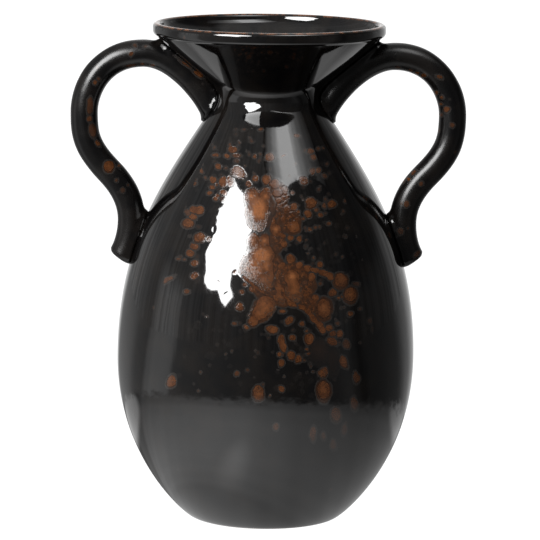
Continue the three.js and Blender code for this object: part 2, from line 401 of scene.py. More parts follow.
TWIN_DISCS: Body = (Blister(286.8, 208.8, 8, 9), Blister(293.2, 207.6, 8, 9))
CURVED_FOLD: Body = (Blister(290.5, 216.5, 11, 4.5, tilt=20), Blister(296.5, 219, 7, 4.5, tilt=10))
LEAF: Body = (
    Blister(275.5, 231, 15, 17.5, tone=1.4, tilt=-10),
    Blister(273.8, 221.5, 6, 9, tilt=8),
    Blister(282.5, 236, 8, 6, tilt=35),
)
KIDNEY: Body = (Blister(193.8, 210, 7.5, 8, tilt=-10), Blister(200, 210.8, 8.5, 9.5, tilt=15))
TWO_LOBES: Body = (Blister(281.4, 339.5, 8, 11, tilt=-5), Blister(283.4, 347.3, 8.5, 10))
STAR_ARMS: Body = (
    Blister(275, 299, 10, 4.5, tone=1.2, tilt=60, on_top=True),
    Blister(286.5, 298, 13, 3.6, tone=1.4, tilt=50, on_top=True),
    Blister(292, 304.5, 12, 4.5, tone=1.3, tilt=20, on_top=True),
    Blister(283, 311.4, 7, 4.5, tone=1.1, tilt=-10, on_top=True),
)

CLUSTER: Body = (
    Blister(267, 180.5, 11, 12, tone=1.2, crater=0.5),
    Blister(274.5, 184.5, 13, 13, tone=1.2, crater=0.4), Blister(277.3, 192.5, 12, 11, tone=1.1),
    Blister(278, 200.5, 9, 8, tone=0.7), Blister(284.8, 190.5, 9, 11, crater=0.7),
    Blister(292.2, 194, 4, 4), Blister(285.6, 199, 6, 4, tilt=-20),
    Blister(282, 202.2, 7, 3.5, tilt=-25), Blister(297.5, 212, 5, 4.5), Blister(303, 219.7, 4.5, 4),
    Blister(282.8, 218.7, 8.5, 8.5, crater=0.35), Blister(276.3, 216.2, 4, 4),
    Blister(293.4, 227.5, 16, 15.5, crater=0.15), Blister(290.5, 237.4, 6, 6),
    Blister(283.6, 244.3, 10, 9, tilt=-25), Blister(299.7, 239, 7.5, 6.5),
    Blister(290.3, 259.3, 10, 10.5, crater=0.2), Blister(281.6, 265.9, 10, 10, crater=0.3),
    Blister(299.1, 266, 9, 9, crater=0.4), Blister(310.6, 277.6, 9.5, 11, crater=0.35),
    Blister(304.5, 283, 7, 9, tone=0.5, tilt=10), Blister(306.4, 295.2, 10, 7.5, tilt=-40),
    Blister(315.2, 298.8, 9, 9.5, tilt=10, crater=0.2),
    Blister(323.6, 309.5, 19, 27, tilt=5, crater=0.1),
    Blister(340.5, 281.3, 17, 19.5, tone=0.75, tilt=-5, crater=0.1),
    Blister(349.8, 295.5, 15.5, 20, tone=0.75, tilt=-5, crater=0.1), Blister(333, 293, 8.5, 8.5),
    Blister(341.7, 297, 4, 3.5), Blister(338.3, 298.5, 4, 3.5),
    Blister(356.3, 284, 7, 5, tone=0.35), Blister(350, 314.3, 6.5, 5.5, tone=0.9),
    Blister(359.5, 309, 4.5, 4, tone=0.4), Blister(337.6, 323.5, 5, 4.5, tone=0.5),
    Blister(328.3, 328.2, 9, 6.5, tilt=-10), Blister(333, 334.2, 8, 7),
    Blister(339.5, 334.2, 8, 7.5),
)

UPPER_SCATTER: Body = (
    Blister(261, 128.3, 6, 4.5, tone=0.7), Blister(297.3, 135.9, 6, 5, tone=0.7, crater=0.3),
    Blister(310, 120.6, 5, 5, tone=0.35), Blister(250.8, 126.4, 4, 4, tone=0.3),
    Blister(236, 129.5, 4.5, 3.5, tone=0.3), Blister(243.8, 129.5, 4.5, 3.5, tone=0.3),
    Blister(236.7, 134.6, 4, 3.5, tone=0.2), Blister(252, 141, 5, 4, tone=0.35),
    Blister(215, 148, 4.5, 3.5, tone=0.4), Blister(215.8, 155.6, 6.5, 4.5, tone=0.95),
    Blister(226.8, 156.3, 7.5, 5, tone=0.9, tilt=10), Blister(232.8, 150, 9.5, 7.5),
    Blister(236.8, 155.7, 9, 5.5, tone=0.5, tilt=15), Blister(254.3, 156.3, 5, 5, tone=0.8),
    Blister(248.6, 154.6, 3.5, 4, tone=0.3), Blister(259.5, 154.6, 3.5, 3.5, tone=0.4),
    Blister(259.2, 160.6, 4.5, 4.5, tone=0.3), Blister(269, 157.5, 10, 8.5, crater=0.1),
    Blister(283.3, 155.7, 6.5, 3, tone=0.8, tilt=-20, relief=0.5),
    Blister(236.5, 161.5, 5.5, 4.5, tone=0.4, relief=-2.6),
    Blister(246.3, 162.3, 4.5, 4.5, tone=0.0, relief=-3.0),
    Blister(251, 166.8, 3.5, 3.5, tone=0.0, relief=-3.0), Blister(218.5, 166.7, 6.5, 6.5, tone=0.9),
    Blister(226.5, 168.4, 3, 3, tone=0.5), Blister(202, 170.5, 4.5, 4.5, tone=0.6),
    Blister(205, 177.4, 4.5, 4, tone=0.4), Blister(213, 180, 7.5, 8),
    Blister(220.5, 175, 3.5, 3, tone=0.2),
    Blister(238.3, 172.7, 18.5, 12.5, tone=0.9, tilt=28, relief=-0.3),
    Blister(223, 182.7, 9, 13, crater=0.35), Blister(230, 182, 9, 13, tilt=-15, relief=-0.22),
    Blister(212.3, 187, 6.5, 5, tone=0.8, tilt=15), Blister(216.7, 184.4, 4, 4, tone=0.7),
    Blister(219, 189.3, 4, 3, tone=0.2), Blister(193.6, 179, 6, 4.5, tone=0.5),
    Blister(193.2, 182.8, 7, 4.5, tone=0.9), Blister(210.1, 192.8, 6, 4.5, tone=0.8),
    Blister(223.3, 193.3, 8, 6, tilt=10), Blister(218.2, 196.5, 6, 5, tilt=-30),
    Blister(215.9, 199.4, 6, 5, tone=0.8), Blister(222.2, 199, 6, 6, tone=0.35),
    Blister(255.2, 178.7, 6.5, 8, tone=0.8, relief=-3.8),
    Blister(248.3, 184, 7.5, 7.5, tone=0.7, relief=-3.2),
    Blister(303, 181.3, 9.5, 9.5, tone=0.7, crater=0.5), Blister(310.7, 151.9, 7.5, 7, tone=0.8),
    Blister(313.3, 157.6, 6, 6, tone=0.7), Blister(305, 151, 4, 3.5, tone=0.4),
    Blister(318.4, 148.7, 4, 4, tone=0.4), Blister(323.5, 148, 4, 4, tone=0.4),
    Blister(332.4, 150, 7, 8, tone=0.35), Blister(312.6, 171.6, 6, 7, tone=0.6),
    Blister(317.8, 171, 6, 6, tone=0.6), Blister(324.7, 176, 5.5, 5.5, tone=0.4),
    Blister(326.6, 163.3, 4.5, 4.5, tone=0.3), Blister(319, 189.5, 5, 5, tone=0.3),
    Blister(310.9, 203.4, 13, 13, crater=0.2), Blister(323.8, 205.8, 5, 6.5, tone=0.5),
    Blister(331.8, 204.2, 9, 9.5, tone=0.9, crater=0.2), Blister(308, 214.3, 9, 9.5),
    Blister(316.3, 210.4, 5.5, 4.5, tone=0.5), Blister(320.1, 214.8, 5, 5, tone=0.7),
    Blister(325.2, 213.3, 3.5, 3.5, tone=0.3), Blister(310, 229.4, 4.5, 4.5, tone=0.7),
    Blister(315.8, 227.4, 4, 3.5, tone=0.5), Blister(306.6, 240.6, 3.5, 3.5, tone=0.3),
    Blister(305.4, 246.3, 4, 3.5, tone=0.4), Blister(328.4, 223.6, 4.5, 4.5, tone=0.6),
    Blister(319.3, 264.6, 6.5, 6.5), Blister(333, 261.2, 3.5, 3, tone=0.0),
    Blister(329, 269.5, 5, 4, tone=0.0), Blister(320, 283.8, 4.5, 3.5, tone=0.6),
    Blister(321.4, 280.4, 4, 3.5, tone=0.2), Blister(345, 201, 4, 4, tone=0.4),
    Blister(343.5, 211, 3.5, 3.5, tone=0.3), Blister(344, 236, 3, 3, tone=0.3),
)

LEFT_GROUP: Body = (
    Blister(183.8, 207, 5, 4, tone=0.3), Blister(188.3, 212.6, 7, 6, tone=0.4, tilt=30),
    Blister(193, 216.7, 9.5, 7.5, tilt=30), Blister(187.8, 223.8, 13.5, 11.5, tilt=10),
    Blister(198.4, 227.5, 5, 4, tone=0.2), Blister(200.3, 238.3, 13, 11.5),
    Blister(208.7, 239.8, 7, 6, tone=0.6, relief=-1.6), Blister(194.5, 246, 10, 7.5, tilt=15),
    Blister(190.5, 253.2, 8.5, 7), Blister(197.5, 256.5, 4, 4, tone=0.2),
    Blister(178.6, 258.8, 4.5, 3.5, tone=0.5), Blister(183.8, 259.6, 4, 3.5, tone=0.5),
    Blister(194.6, 262.8, 9.5, 6.5, tone=0.9, tilt=-20),
    Blister(194.8, 275.8, 9, 6, tone=0.9, tilt=-15), Blister(198, 281, 5, 5, tone=0.1),
    Blister(167.8, 280, 15, 4.5, tone=0.6, tilt=-32), Blister(187, 292, 7, 5, tone=0.7),
    Blister(212.7, 210.3, 3.5, 4, tone=0.0, relief=-1.8),
    Blister(216.7, 207.4, 5, 4, tone=0.0, relief=0.7),
    Blister(214, 217, 4, 4, tone=0.0, relief=0.7),
    Blister(213.5, 223.5, 4, 4, tone=0.0, relief=0.7),
    Blister(214, 230, 6, 7, tone=0.0, relief=-1.4),
    Blister(211.5, 284, 15, 16, tone=0.0, relief=0.0),
    Blister(211.3, 277.6, 11, 3.4, tilt=6, relief=-3.5),
    Blister(217.8, 281.4, 3.2, 7, tilt=-25, relief=-3.5),
    Blister(227.5, 298, 11, 15, tone=0.0, tilt=15, relief=0.0),
    Blister(226, 294, 8.5, 3, tone=0.9, tilt=-28, relief=-3.5),
    Blister(232, 257, 2.2, 2.2, relief=0.0), Blister(232.3, 195.7, 2.2, 1.8, tone=0.3, relief=0.3),
    Blister(223.2, 212.8, 2, 2, tone=0.3, relief=0.3),
    Blister(235.5, 272.5, 6, 5, tone=0.7, tilt=-30, relief=-1.2),
    Blister(242, 292.5, 6, 5, tone=0.8), Blister(245.2, 285, 5, 5, tone=0.9),
    Blister(254.4, 290, 12, 8.5, tilt=12), Blister(250, 316, 4.5, 3.5), Blister(246.5, 327, 6, 4.5),
    Blister(239.8, 307.2, 9, 9.5), Blister(236, 319.6, 4, 3.5, tone=0.0),
    Blister(234.8, 323.9, 5, 4.5, tone=0.6), Blister(197.8, 325.8, 6.5, 6, tone=0.0, relief=0.6),
    Blister(189.5, 330.6, 4, 3.5, tone=0.0, relief=0.6), Blister(229, 344.8, 4, 3.5, tone=0.0),
    Blister(210, 355.5, 8, 5, tone=0.0, relief=0.5), Blister(236.7, 374, 5, 4.5, tone=0.6),
)

LOWER_SCATTER: Body = (
    Blister(271.8, 329.6, 12, 8.5, tilt=15), Blister(289.2, 321, 10.5, 7.5, tilt=-30),
    Blister(301.8, 323.8, 5.5, 5, tone=0.7), Blister(306.3, 330.6, 4.5, 3.5, tone=0.6),
    Blister(279, 354.4, 5, 5, tone=0.9), Blister(281, 363.2, 7.5, 7.5),
    Blister(292.6, 338.2, 6, 6, tone=0.8), Blister(309.4, 339.6, 11, 13, tilt=-10),
    Blister(313.5, 346.1, 6, 6, tone=0.8), Blister(324, 346, 4, 4, tone=0.4),
    Blister(291.3, 355.6, 9.5, 10.5, crater=0.15), Blister(298.2, 358.9, 7.5, 10, tilt=15),
    Blister(304.3, 360.8, 3.5, 3.5, tone=0.4), Blister(309.4, 353.8, 7, 6, tone=0.8),
    Blister(306.5, 349.5, 4.5, 4.5, tone=0.7), Blister(331.8, 341.7, 12, 8, tilt=38),
    Blister(346.4, 343.6, 8, 10, tone=0.5, tilt=-15), Blister(343.2, 361.6, 8.5, 15.5, tilt=-28),
    Blister(322.8, 372.6, 10, 11, tone=0.8, crater=0.3, frost=0.3),
    Blister(323.6, 391, 16, 24, crater=0.1), Blister(335.6, 415, 11, 17, tone=0.6),
    Blister(356, 378, 8, 13, tone=0.7, tilt=-10), Blister(354, 404, 8, 15, tone=0.5),
    Blister(258.4, 393.4, 12.5, 18, tone=0.72, crater=0.25),
    Blister(280.8, 388.9, 7, 6.5, tone=0.7), Blister(276.3, 388.5, 4, 4, tone=0.1),
    Blister(171.6, 381.8, 9.5, 14.5, tilt=15), Blister(299.2, 376.7, 3.5, 3.5, tone=0.0),
    Blister(301.8, 384.4, 4, 4, tone=0.0), Blister(302.4, 390.8, 3.5, 3.5, tone=0.0),
    Blister(311.4, 380.6, 3.5, 3.5, tone=0.0), Blister(311.4, 394.6, 3.5, 3.5, tone=0.0),
    Blister(276.3, 426.6, 7, 7.5, tone=0.5, relief=0.3),
    Blister(313.3, 434.1, 7, 16, tone=0.5, relief=0.3),
    Blister(322.8, 436, 5, 8, tone=0.4, relief=0.3),
    Blister(333, 445, 6, 11, tone=0.4, tilt=-10, relief=0.3),
    Blister(343.9, 429.7, 6, 12, tone=0.4, relief=0.3),
    Blister(319, 352, 24, 28, tone=0.1, relief=0.0),
    Blister(333, 362, 14, 30, tone=0.1, relief=0.0), Blister(369.2, 320.6, 5, 6, tone=0.3),
    Blister(372.7, 329, 5, 8, tone=0.2),
)

JOINED_BODIES = (
    UPPER_VEIL, LOWER_VEIL, HEART_FLANK, HEART, BIG_PATCH, PENTAGON, WEDGE, LOWER_LOBE, UPPER_RIDGE,
    LOWER_RIDGE, LONG_CREASE, TWIN_DISCS, CURVED_FOLD, LEAF, KIDNEY, TWO_LOBES, STAR_ARMS,
)

HANDLE_SPOTS: Body = (
    Blister(185, 64, 18, 2.8, tone=0.9, tilt=38), Blister(198, 74, 13, 4.5, tilt=36),
    Blister(413.5, 172.5, 6, 4, tone=0.6, tilt=-40), Blister(409, 179, 5, 4, tone=0.7),
    Blister(402.5, 181, 5, 4, tone=0.5), Blister(421.4, 183.7, 5, 5, tone=0.5),
    Blister(406.2, 204, 6, 6, tone=0.5), Blister(399.8, 231.8, 6, 7, tone=0.4, crater=0.4),
    Blister(418.3, 254, 10, 5, tone=0.35, tilt=-40), Blister(90, 106, 7, 18, tone=0.5, tilt=3),
    Blister(93, 131, 8, 15, tone=0.45, tilt=-8), Blister(98, 143.5, 5, 7, tone=0.8, tilt=-25),
    Blister(130.8, 54, 5.5, 5, tone=0.6, crater=0.6), Blister(134.5, 45.5, 5, 3.5, tone=0.4),
    Blister(146, 46, 4.5, 3, tone=0.4), Blister(131, 65.5, 13, 3.5, tone=0.5, tilt=-10),
    Blister(143, 64, 6, 3.5, tone=0.6), Blister(152.5, 65, 4, 4, tone=0.6),
    Blister(95, 83, 5, 5, tone=0.6), Blister(97, 67.5, 4, 4, tone=0.3),
    Blister(99, 79, 4, 4, tone=0.4), Blister(439, 77, 7, 4, tone=0.6, tilt=20),
    Blister(424, 76, 6, 5, tone=0.7), Blister(417, 73, 5, 4, tone=0.7),
    Blister(410, 71, 5, 4, tone=0.7), Blister(398, 68, 6, 4, tone=0.5),
    Blister(436, 93, 4, 4, tone=0.6), Blister(442, 97, 4, 4, tone=0.6),
    Blister(441, 104, 4, 3, tone=0.6), Blister(447, 110, 7, 7, tone=0.7, crater=0.5),
    Blister(441, 115, 4, 4, tone=0.5), Blister(452, 125, 5, 5, tone=0.5),
    Blister(438, 130, 4, 5, tone=0.4), Blister(109, 167, 12, 12.5, tone=0.85, crater=0.3),
    Blister(119.5, 165, 4, 4, tone=0.5), Blister(90, 119, 6, 7, tone=0.6),
    Blister(117, 180, 4, 4, tone=0.4), Blister(122, 190, 5, 5, tone=0.3),
)


def apart(group: Body) -> tuple[Body, ...]:
    """Gives each blister a body of its own."""
    return tuple((blister,) for blister in group)


@dataclass
class BlisterMarks:
    """What a group of blisters does to each place of a surface."""

    rise: Array
    crust: Array
    core: Array
    tone: Array
    frost: Array

    def keep(self, piece: Piece, share: Array, order: Array) -> None:
        """Keeps the marks at the vertices of a piece.

        Args:
            piece: The mesh object.
            share: How far the marks count at each place.
            order: Which place each vertex has.
        """
        for name in ("crust", "core", "tone", "frost"):
            keep_mark(piece, name, (getattr(self, name) * share)[order])


@dataclass(frozen=True)
class BlisterField:
    """Raises bodies of blisters out of a surface and marks where their brown crust lies.

    Lengths other than the pixel and the tallest rise are in pixels of the picture. A blend
    is the stretch over which something sets in, from outside to inside the blister's edge.
    """

    bodies: tuple[Body, ...]
    pixel: float = 1.055 * MM
    tallest: float = 0.55 * MM
    rise_share: float = 0.02
    skirt: float = 2.0
    bank: float = 2.2
    union: float = 0.9
    veil: float = 0.6
    warp: float = 0.9
    quick_warp: float = 0.45
    slow_size: float = 7.0
    quick_size: float = 2.9
    # Painted shade: the lighter core sits this share of half the size above the middle, leaving the dark rim
    # thicker below.
    core_shade_shift: float = 0.1
    rim_share: float = 0.38
    rim_less: float = 1.2
    rim_limits: Pair = (0.2, 2.6)
    dome_edge: float = 0.78
    dome_rise: float = 0.22
    crater_reach: float = 0.42
    frost_blend: Pair = (-2.6, 2.4)
    on_top: float = 12.0
    on_top_from: float = -0.3
    mark_reach: float = 16.0
    seam: float = 0.7
    seam_blend: Pair = (-1.2, 0.3)
    seam_dip: float = 0.4
    seam_core: float = 1.9
    seam_crust: float = 1.4
    seam_inner_blend: Pair = (0.5, 2.5)
    seed: int = 3

    def drifted(self, pixels: Array) -> Array:
        """Moves the pixels a little, so that no blister is a true ellipse."""
        slow = np.column_stack([lattice_noise(pixels, self.slow_size, self.seed + k) for k in (0, 1)])
        quick = np.column_stack([lattice_noise(pixels, self.quick_size, self.seed + k) for k in (2, 3)])
        return pixels + self.warp * slow + self.quick_warp * self.warp * quick

    def near(self, pixels: Array, body: Body) -> Array:
        """Picks the places that lie near a body."""
        margin = self.mark_reach / 2
        reach = [max(blister.wide, blister.tall) / 2 + margin for blister in body]
        low = np.min([(blister.x - r, blister.y - r) for blister, r in zip(body, reach)], axis=0)
        high = np.max([(blister.x + r, blister.y + r) for blister, r in zip(body, reach)], axis=0)
        return np.flatnonzero(np.all((pixels > low) & (pixels < high), axis=1))

    def merged(self, distances: list[Array]) -> tuple[Array, Array]:
        """Joins the blisters of a body softly into one shape.

        Args:
            distances: For each blister, how far inside it each place is.

        Returns:
            How far inside the body each place is, and each blister's share there.
        """
        weights = np.exp(np.clip(np.array(distances) / self.union, -40, 40))
        total = weights.sum(axis=0)
        return self.union * np.log(total), weights / total

    def body_marks(self, pixels: Array, body: Body) -> tuple[Array, BlisterMarks]:
        """Works out one body of blisters that have run together.

        Args:
            pixels: Places near the body.
            body: Its blisters, the later ones lying on the earlier.

        Returns:
            How far inside the body each place is, and its marks, with plain distances.
        """
        insides, cores, heights = [], [], []
        frost = np.full(len(pixels), body[0].frost)
        for blister in body:
            across, down = blister.ways(pixels)
            small = min(blister.wide / 2, blister.tall / 2)
            spread = np.hypot(across, down)
            # The core is drawn above the middle so its lighter brown sits high and the dark rim is thicker
            # below, as painted shade.
            raised = np.hypot(across, down + self.core_shade_shift)
            rim = float(np.clip(self.rim_share * small - self.rim_less, *self.rim_limits))
            insides.append((1 - spread) * small)
            cores.append((1 - raised) * small - rim)
            height = min(self.tallest, self.rise_share * (small + 1) * self.pixel) * blister.relief
            bowl = np.clip(1 - spread**2, 0, 1)
            crater = blister.crater * np.exp(-((spread / self.crater_reach) ** 2))
            dome = self.dome_edge + self.dome_rise * bowl - crater
            heights.append(height * (dome if blister.relief > 0 else bowl))
            share = smooth_step(*self.frost_blend, insides[-1])
            frost = frost * (1 - share) + blister.frost * share
        inside, shares = self.merged(insides)
        core, _ = self.merged(cores)
        tone = shares.T @ np.array([blister.tone for blister in body])
        rise = np.sum(shares * heights, axis=0) * smooth_step(-self.skirt, self.bank, inside)
        if body[0].under:
            core = np.full(len(pixels), -self.mark_reach / 2)
        return inside, BlisterMarks(rise, inside, core, tone, frost)

    def over(self, pixels: Array) -> BlisterMarks:
        """Works out relief and marks for places seen at given pixels.

        Args:
            pixels: Where each place is seen.

        Returns:
            The rise in metres, the crust and core marks, which are 0.5 at their edge, and
            how brown and how frosted each place is.
        """
        shifted = self.drifted(pixels)
        count, far = len(pixels), -self.mark_reach / 2
        rise, tone, frost = np.zeros(count), np.zeros(count), np.zeros(count)
        best, rank, second, core, filled = (np.full(count, far) for _ in range(5))
        for body in self.bodies:
            near = self.near(shifted, body)
            if not len(near):
                continue
            inside, here = self.body_marks(shifted[near], body)
            if body[0].under:
                filled[near] = np.maximum(filled[near], inside)
                inside = np.minimum(inside, self.veil)
            ranked = inside + self.on_top * (body[0].on_top & (inside > self.on_top_from))
            second[near] = np.maximum(second[near], np.minimum(rank[near], ranked))
            closer = ranked > rank[near]
            taken = near[closer]
            rank[taken] = ranked[closer]
            best[taken] = inside[closer]
            core[taken] = here.core[closer]
            tone[taken] = here.tone[closer]
            frost[taken] = here.frost[closer]
            dent = np.minimum(here.rise, 0)
            rise[near] = np.maximum(rise[near], here.rise) + dent
        seam = np.exp(-(((rank - second) / self.seam) ** 2)) * smooth_step(*self.seam_blend, second)
        rise = rise * (1 - self.seam_dip * seam)
        core = core - self.seam_core * seam
        best = best - self.seam_crust * seam * (1 - smooth_step(*self.seam_inner_blend, second))
        best = np.maximum(best, filled)
        return BlisterMarks(rise, self.marked(best), self.marked(core), tone, frost)

    def marked(self, distance: Array) -> Array:
        """Packs a distance in pixels into a mark from 0 to 1, 0.5 at the edge."""
        return np.clip(distance / self.mark_reach + 0.5, 0, 1)


@dataclass(frozen=True)
class SpeckCloud:
    """A cloud of small bubbles round a place in the picture."""

    x: float
    y: float
    spread_x: float
    spread_y: float
    count: int


SPECK_CLOUDS = (
    SpeckCloud(245, 150, 42, 22, 90),
    SpeckCloud(210, 205, 18, 26, 45),
    SpeckCloud(300, 215, 26, 26, 70),
    SpeckCloud(315, 255, 26, 18, 45),
    SpeckCloud(300, 345, 32, 28, 70),
    SpeckCloud(225, 345, 28, 26, 30),
    SpeckCloud(330, 310, 26, 26, 30),
)


def fine_specks(seed: int) -> tuple[Body, ...]:
    """Scatters the many small bubbles that lie round the main splash.

    Args:
        seed: Picks the pattern.

    Returns:
        The specks, thick near the splash and none where the glaze lies smooth.
    """
    draw = np.random.default_rng(seed)
    pool_x, pool_y, pool_wide, pool_tall = 225.0, 243.0, 27.0, 62.0
    smallest, size_spread, relief = 1.7, 2.0, 0.45
    flattest, shape_spread = 0.8, 0.4
    tones, odds = [0.0, 0.2, 0.4, 0.7], [0.45, 0.25, 0.2, 0.1]
    specks = []
    for cloud in SPECK_CLOUDS:
        for _ in range(cloud.count):
            x = cloud.x + cloud.spread_x * draw.normal()
            y = cloud.y + cloud.spread_y * draw.normal()
            size = smallest + size_spread * draw.random() ** 2
            shape = flattest + shape_spread * draw.random()
            tone = float(draw.choice(tones, p=odds))
            if math.hypot((x - pool_x) / pool_wide, (y - pool_y) / pool_tall) < 1:
                continue
            specks.append((Blister(x, y, size, size * shape, tone=tone, relief=relief),))
    return tuple(specks)


def front_splash() -> tuple[Body, ...]:
    """Gathers every blister of the front, the joined bodies first."""
    singles = apart(CLUSTER + UPPER_SCATTER + LEFT_GROUP + LOWER_SCATTER)
    return JOINED_BODIES + singles + fine_specks(5)


# Shader tools.


class NodeBench:
    """Adds and links the nodes of one tree."""

    def __init__(self, tree: bpy.types.NodeTree) -> None:
        """Keeps the tree that is worked on."""
        self.tree = tree

    def add(self, kind: str, entries: dict[str | int, object] | None = None, **settings: object) -> Node:
        """Adds a node.

        Args:
            kind: Its type name.
            entries: Sockets or values for its inputs, by their names or numbers.
            settings: Properties set on it.

        Returns:
            The node.
        """
        node = self.tree.nodes.new(kind)
        for name, value in settings.items():
            setattr(node, name, value)
        self.fill(node, entries or {})
        return node

    def fill(self, node: Node, entries: dict[str | int, object]) -> None:
        """Feeds sockets or values into the inputs of a node, by their names or numbers."""
        for name, value in entries.items():
            self.feed(node.inputs[name], value)

    def feed(self, socket: Socket, value: object) -> None:
        """Links an output into a socket, or sets the socket's own value."""
        if isinstance(value, bpy.types.NodeSocket):
            self.tree.links.new(value, socket)
        else:
            socket.default_value = value

    def math(self, operation: str, *values: object, clamp: bool = False) -> Socket:
        """Adds a sum on one to three values, kept from 0 to 1 if clamped."""
        entries = dict(enumerate(values))
        return self.add("ShaderNodeMath", entries, operation=operation, use_clamp=clamp).outputs[0]

    def product(self, first: object, second: object) -> Socket:
        """Multiplies two values."""
        return self.math("MULTIPLY", first, second)

    def rise(self, value: object, low: float, high: float, to_low: float = 0, to_high: float = 1) -> Socket:
        """Maps a value softly from one range to another.

        Args:
            value: Socket that is mapped.
            low: Value that gives the first result.
            high: Value that gives the second result.
            to_low: First result.
            to_high: Second result.

        Returns:
            The mapped value.
        """
        entries = {"Value": value, "From Min": low, "From Max": high, "To Min": to_low, "To Max": to_high}
        return self.add("ShaderNodeMapRange", entries, interpolation_type="SMOOTHSTEP").outputs["Result"]

    def mixed(self, share: object, first: object, second: object) -> Socket:
        """Mixes two colours, the second one by the share."""
        return self.add("ShaderNodeMix", {0: share, 6: first, 7: second}, data_type="RGBA").outputs[2]

    def blend(self, share: object, first: object, second: object) -> Socket:
        """Mixes two numbers, the second one by the share."""
        return self.add("ShaderNodeMix", {0: share, 2: first, 3: second}, data_type="FLOAT").outputs[0]

    def noise(self, place: object, scale: object, detail: float = 2.0, roughness: float = 0.5) -> Socket:
        """Adds soft noise near 0.5, with its swells to the metre and the layers that refine it."""
        entries = {"Vector": place, "Scale": scale, "Detail": detail, "Roughness": roughness}
        return self.add("ShaderNodeTexNoise", entries).outputs["Fac"]

    def stops(self, value: object, low: float, high: float, stops: Stops) -> Socket:
        """Reads a result off a line through given stops.

        Args:
            value: Socket that is looked up.
            low: Value at the start of the line.
            high: Value at its end.
            stops: Pairs of a value and its result, in order.

        Returns:
            The result.
        """
        share = self.add("ShaderNodeMapRange", {"Value": value, "From Min": low, "From Max": high})
        ramp = self.add("ShaderNodeValToRGB", {0: share.outputs["Result"]})
        line = ramp.color_ramp
        line.interpolation = "EASE"
        while len(line.elements) < len(stops):
            line.elements.new(1.0)
        for element, (place, result) in zip(line.elements, stops):
            element.position = (place - low) / (high - low)
            element.color = (result, result, result, 1)
        return ramp.outputs["Color"]

    def round_stops(self, angle: Socket, stops: Stops) -> Socket:
        """Reads a result off stops that run once round the pot, in degrees."""
        return self.stops(angle, -180.0, 180.0, stops)

    def mark(self, name: str) -> Socket:
        """Reads a number kept at the piece's own vertices."""
        return self.add("ShaderNodeAttribute", attribute_name=name).outputs["Fac"]

    def bump(self, height: object, strength: float, depth: float) -> Socket:
        """Turns a height from 0 to 1 into a normal, with its depth in metres."""
        entries = {"Strength": strength, "Distance": depth, "Height": height}
        return self.add("ShaderNodeBump", entries).outputs["Normal"]

    def here(self) -> Socket:
        """Gives the place on the piece that is shaded."""
        return self.add("ShaderNodeTexCoord").outputs["Object"]

    def bearing(self, x: Socket, y: Socket) -> Socket:
        """Gives the angle of a place in degrees, clockwise from the camera's side."""
        return self.math("DEGREES", self.math("ARCTAN2", x, self.product(y, -1.0)))


def new_group(name: str, numbers: tuple[str, ...], results: tuple[str, ...]) -> tuple[NodeBench, Node, Node]:
    """Starts a node group that takes a place and some numbers.

    Args:
        name: Name of the group.
        numbers: Names of the numbers it takes beside the place.
        results: Names of the numbers it gives.

    Returns:
        A bench on its tree, and the nodes that bring in what is given and put out the results.
    """
    tree = bpy.data.node_groups.new(name, "ShaderNodeTree")
    tree.interface.new_socket("Place", in_out="INPUT", socket_type="NodeSocketVector")
    for number in numbers:
        tree.interface.new_socket(number, in_out="INPUT", socket_type="NodeSocketFloat")
    for result in results:
        tree.interface.new_socket(result, in_out="OUTPUT", socket_type="NodeSocketFloat")
    bench = NodeBench(tree)
    return bench, bench.add("NodeGroupInput"), bench.add("NodeGroupOutput")


def specks_group() -> bpy.types.NodeTree:
    """Builds the group that scatters iron specks with a paler rim over a glaze.

    Returns:
        The group, with the masks Speck and Rim.
    """
    bench, given, result = new_group("iron_specks", ("Cells", "Size", "Amount"), ("Speck", "Rim"))
    cell_entries = {"Vector": given.outputs["Place"], "Scale": given.outputs["Cells"]}
    cells = bench.add("ShaderNodeTexVoronoi", cell_entries, feature="F1")
    split = bench.add("ShaderNodeSeparateColor", {0: cells.outputs["Color"]})
    smallest_share = 0.35
    radius = bench.product(given.outputs["Size"], bench.rise(split.outputs[0], 0, 1, smallest_share, 1.0))
    chosen = bench.math("LESS_THAN", split.outputs[1], given.outputs["Amount"])
    inside = bench.math("SUBTRACT", radius, cells.outputs["Distance"])
    speck_edge, rim_edge = (-0.01, 0.05), (-0.1, -0.02)
    speck = bench.product(bench.rise(inside, *speck_edge), chosen)
    rim = bench.product(bench.rise(inside, *rim_edge), chosen)
    bench.fill(result, {"Speck": speck, "Rim": bench.math("SUBTRACT", rim, speck, clamp=True)})
    return bench.tree


def glaze_skin_group() -> bpy.types.NodeTree:
    """Builds the group for the faint unevenness of a fired glaze.

    Returns:
        The group, with the value Height.
    """
    bench, given, result = new_group("glaze_skin", ("Swells", "Grain"), ("Height",))
    place = given.outputs["Place"]
    ripple_scale, ripple_share, grain_scale = 125, 0.3, 900
    swell = bench.noise(place, given.outputs["Swells"])
    ripple = bench.noise(place, ripple_scale, 1)
    grain = bench.noise(place, grain_scale, 1)
    height = bench.math("MULTIPLY_ADD", ripple, ripple_share, swell)
    height = bench.math("MULTIPLY_ADD", grain, given.outputs["Grain"], height)
    bench.fill(result, {"Height": height})
    return bench.tree


def new_material(name: str) -> tuple[Material, NodeBench, Node]:
    """Starts a material.

    Args:
        name: Its name.

    Returns:
        The material, a bench on its tree, and its shader.
    """
    material = bpy.data.materials.new(name)
    material.use_nodes = True
    tree = material.node_tree
    return material, NodeBench(tree), tree.nodes["Principled BSDF"]


def glowing_material(name: str, strength: float) -> tuple[Material, NodeBench, Node]:
    """Starts a material like `new_material`, one that sends out light and mirrors none."""
    material, bench, shader = new_material(name)
    dark = {"Base Color": (0, 0, 0, 1), "Specular IOR Level": 0.0}
    bench.fill(shader, {**dark, "Emission Strength": strength})
    return material, bench, shader


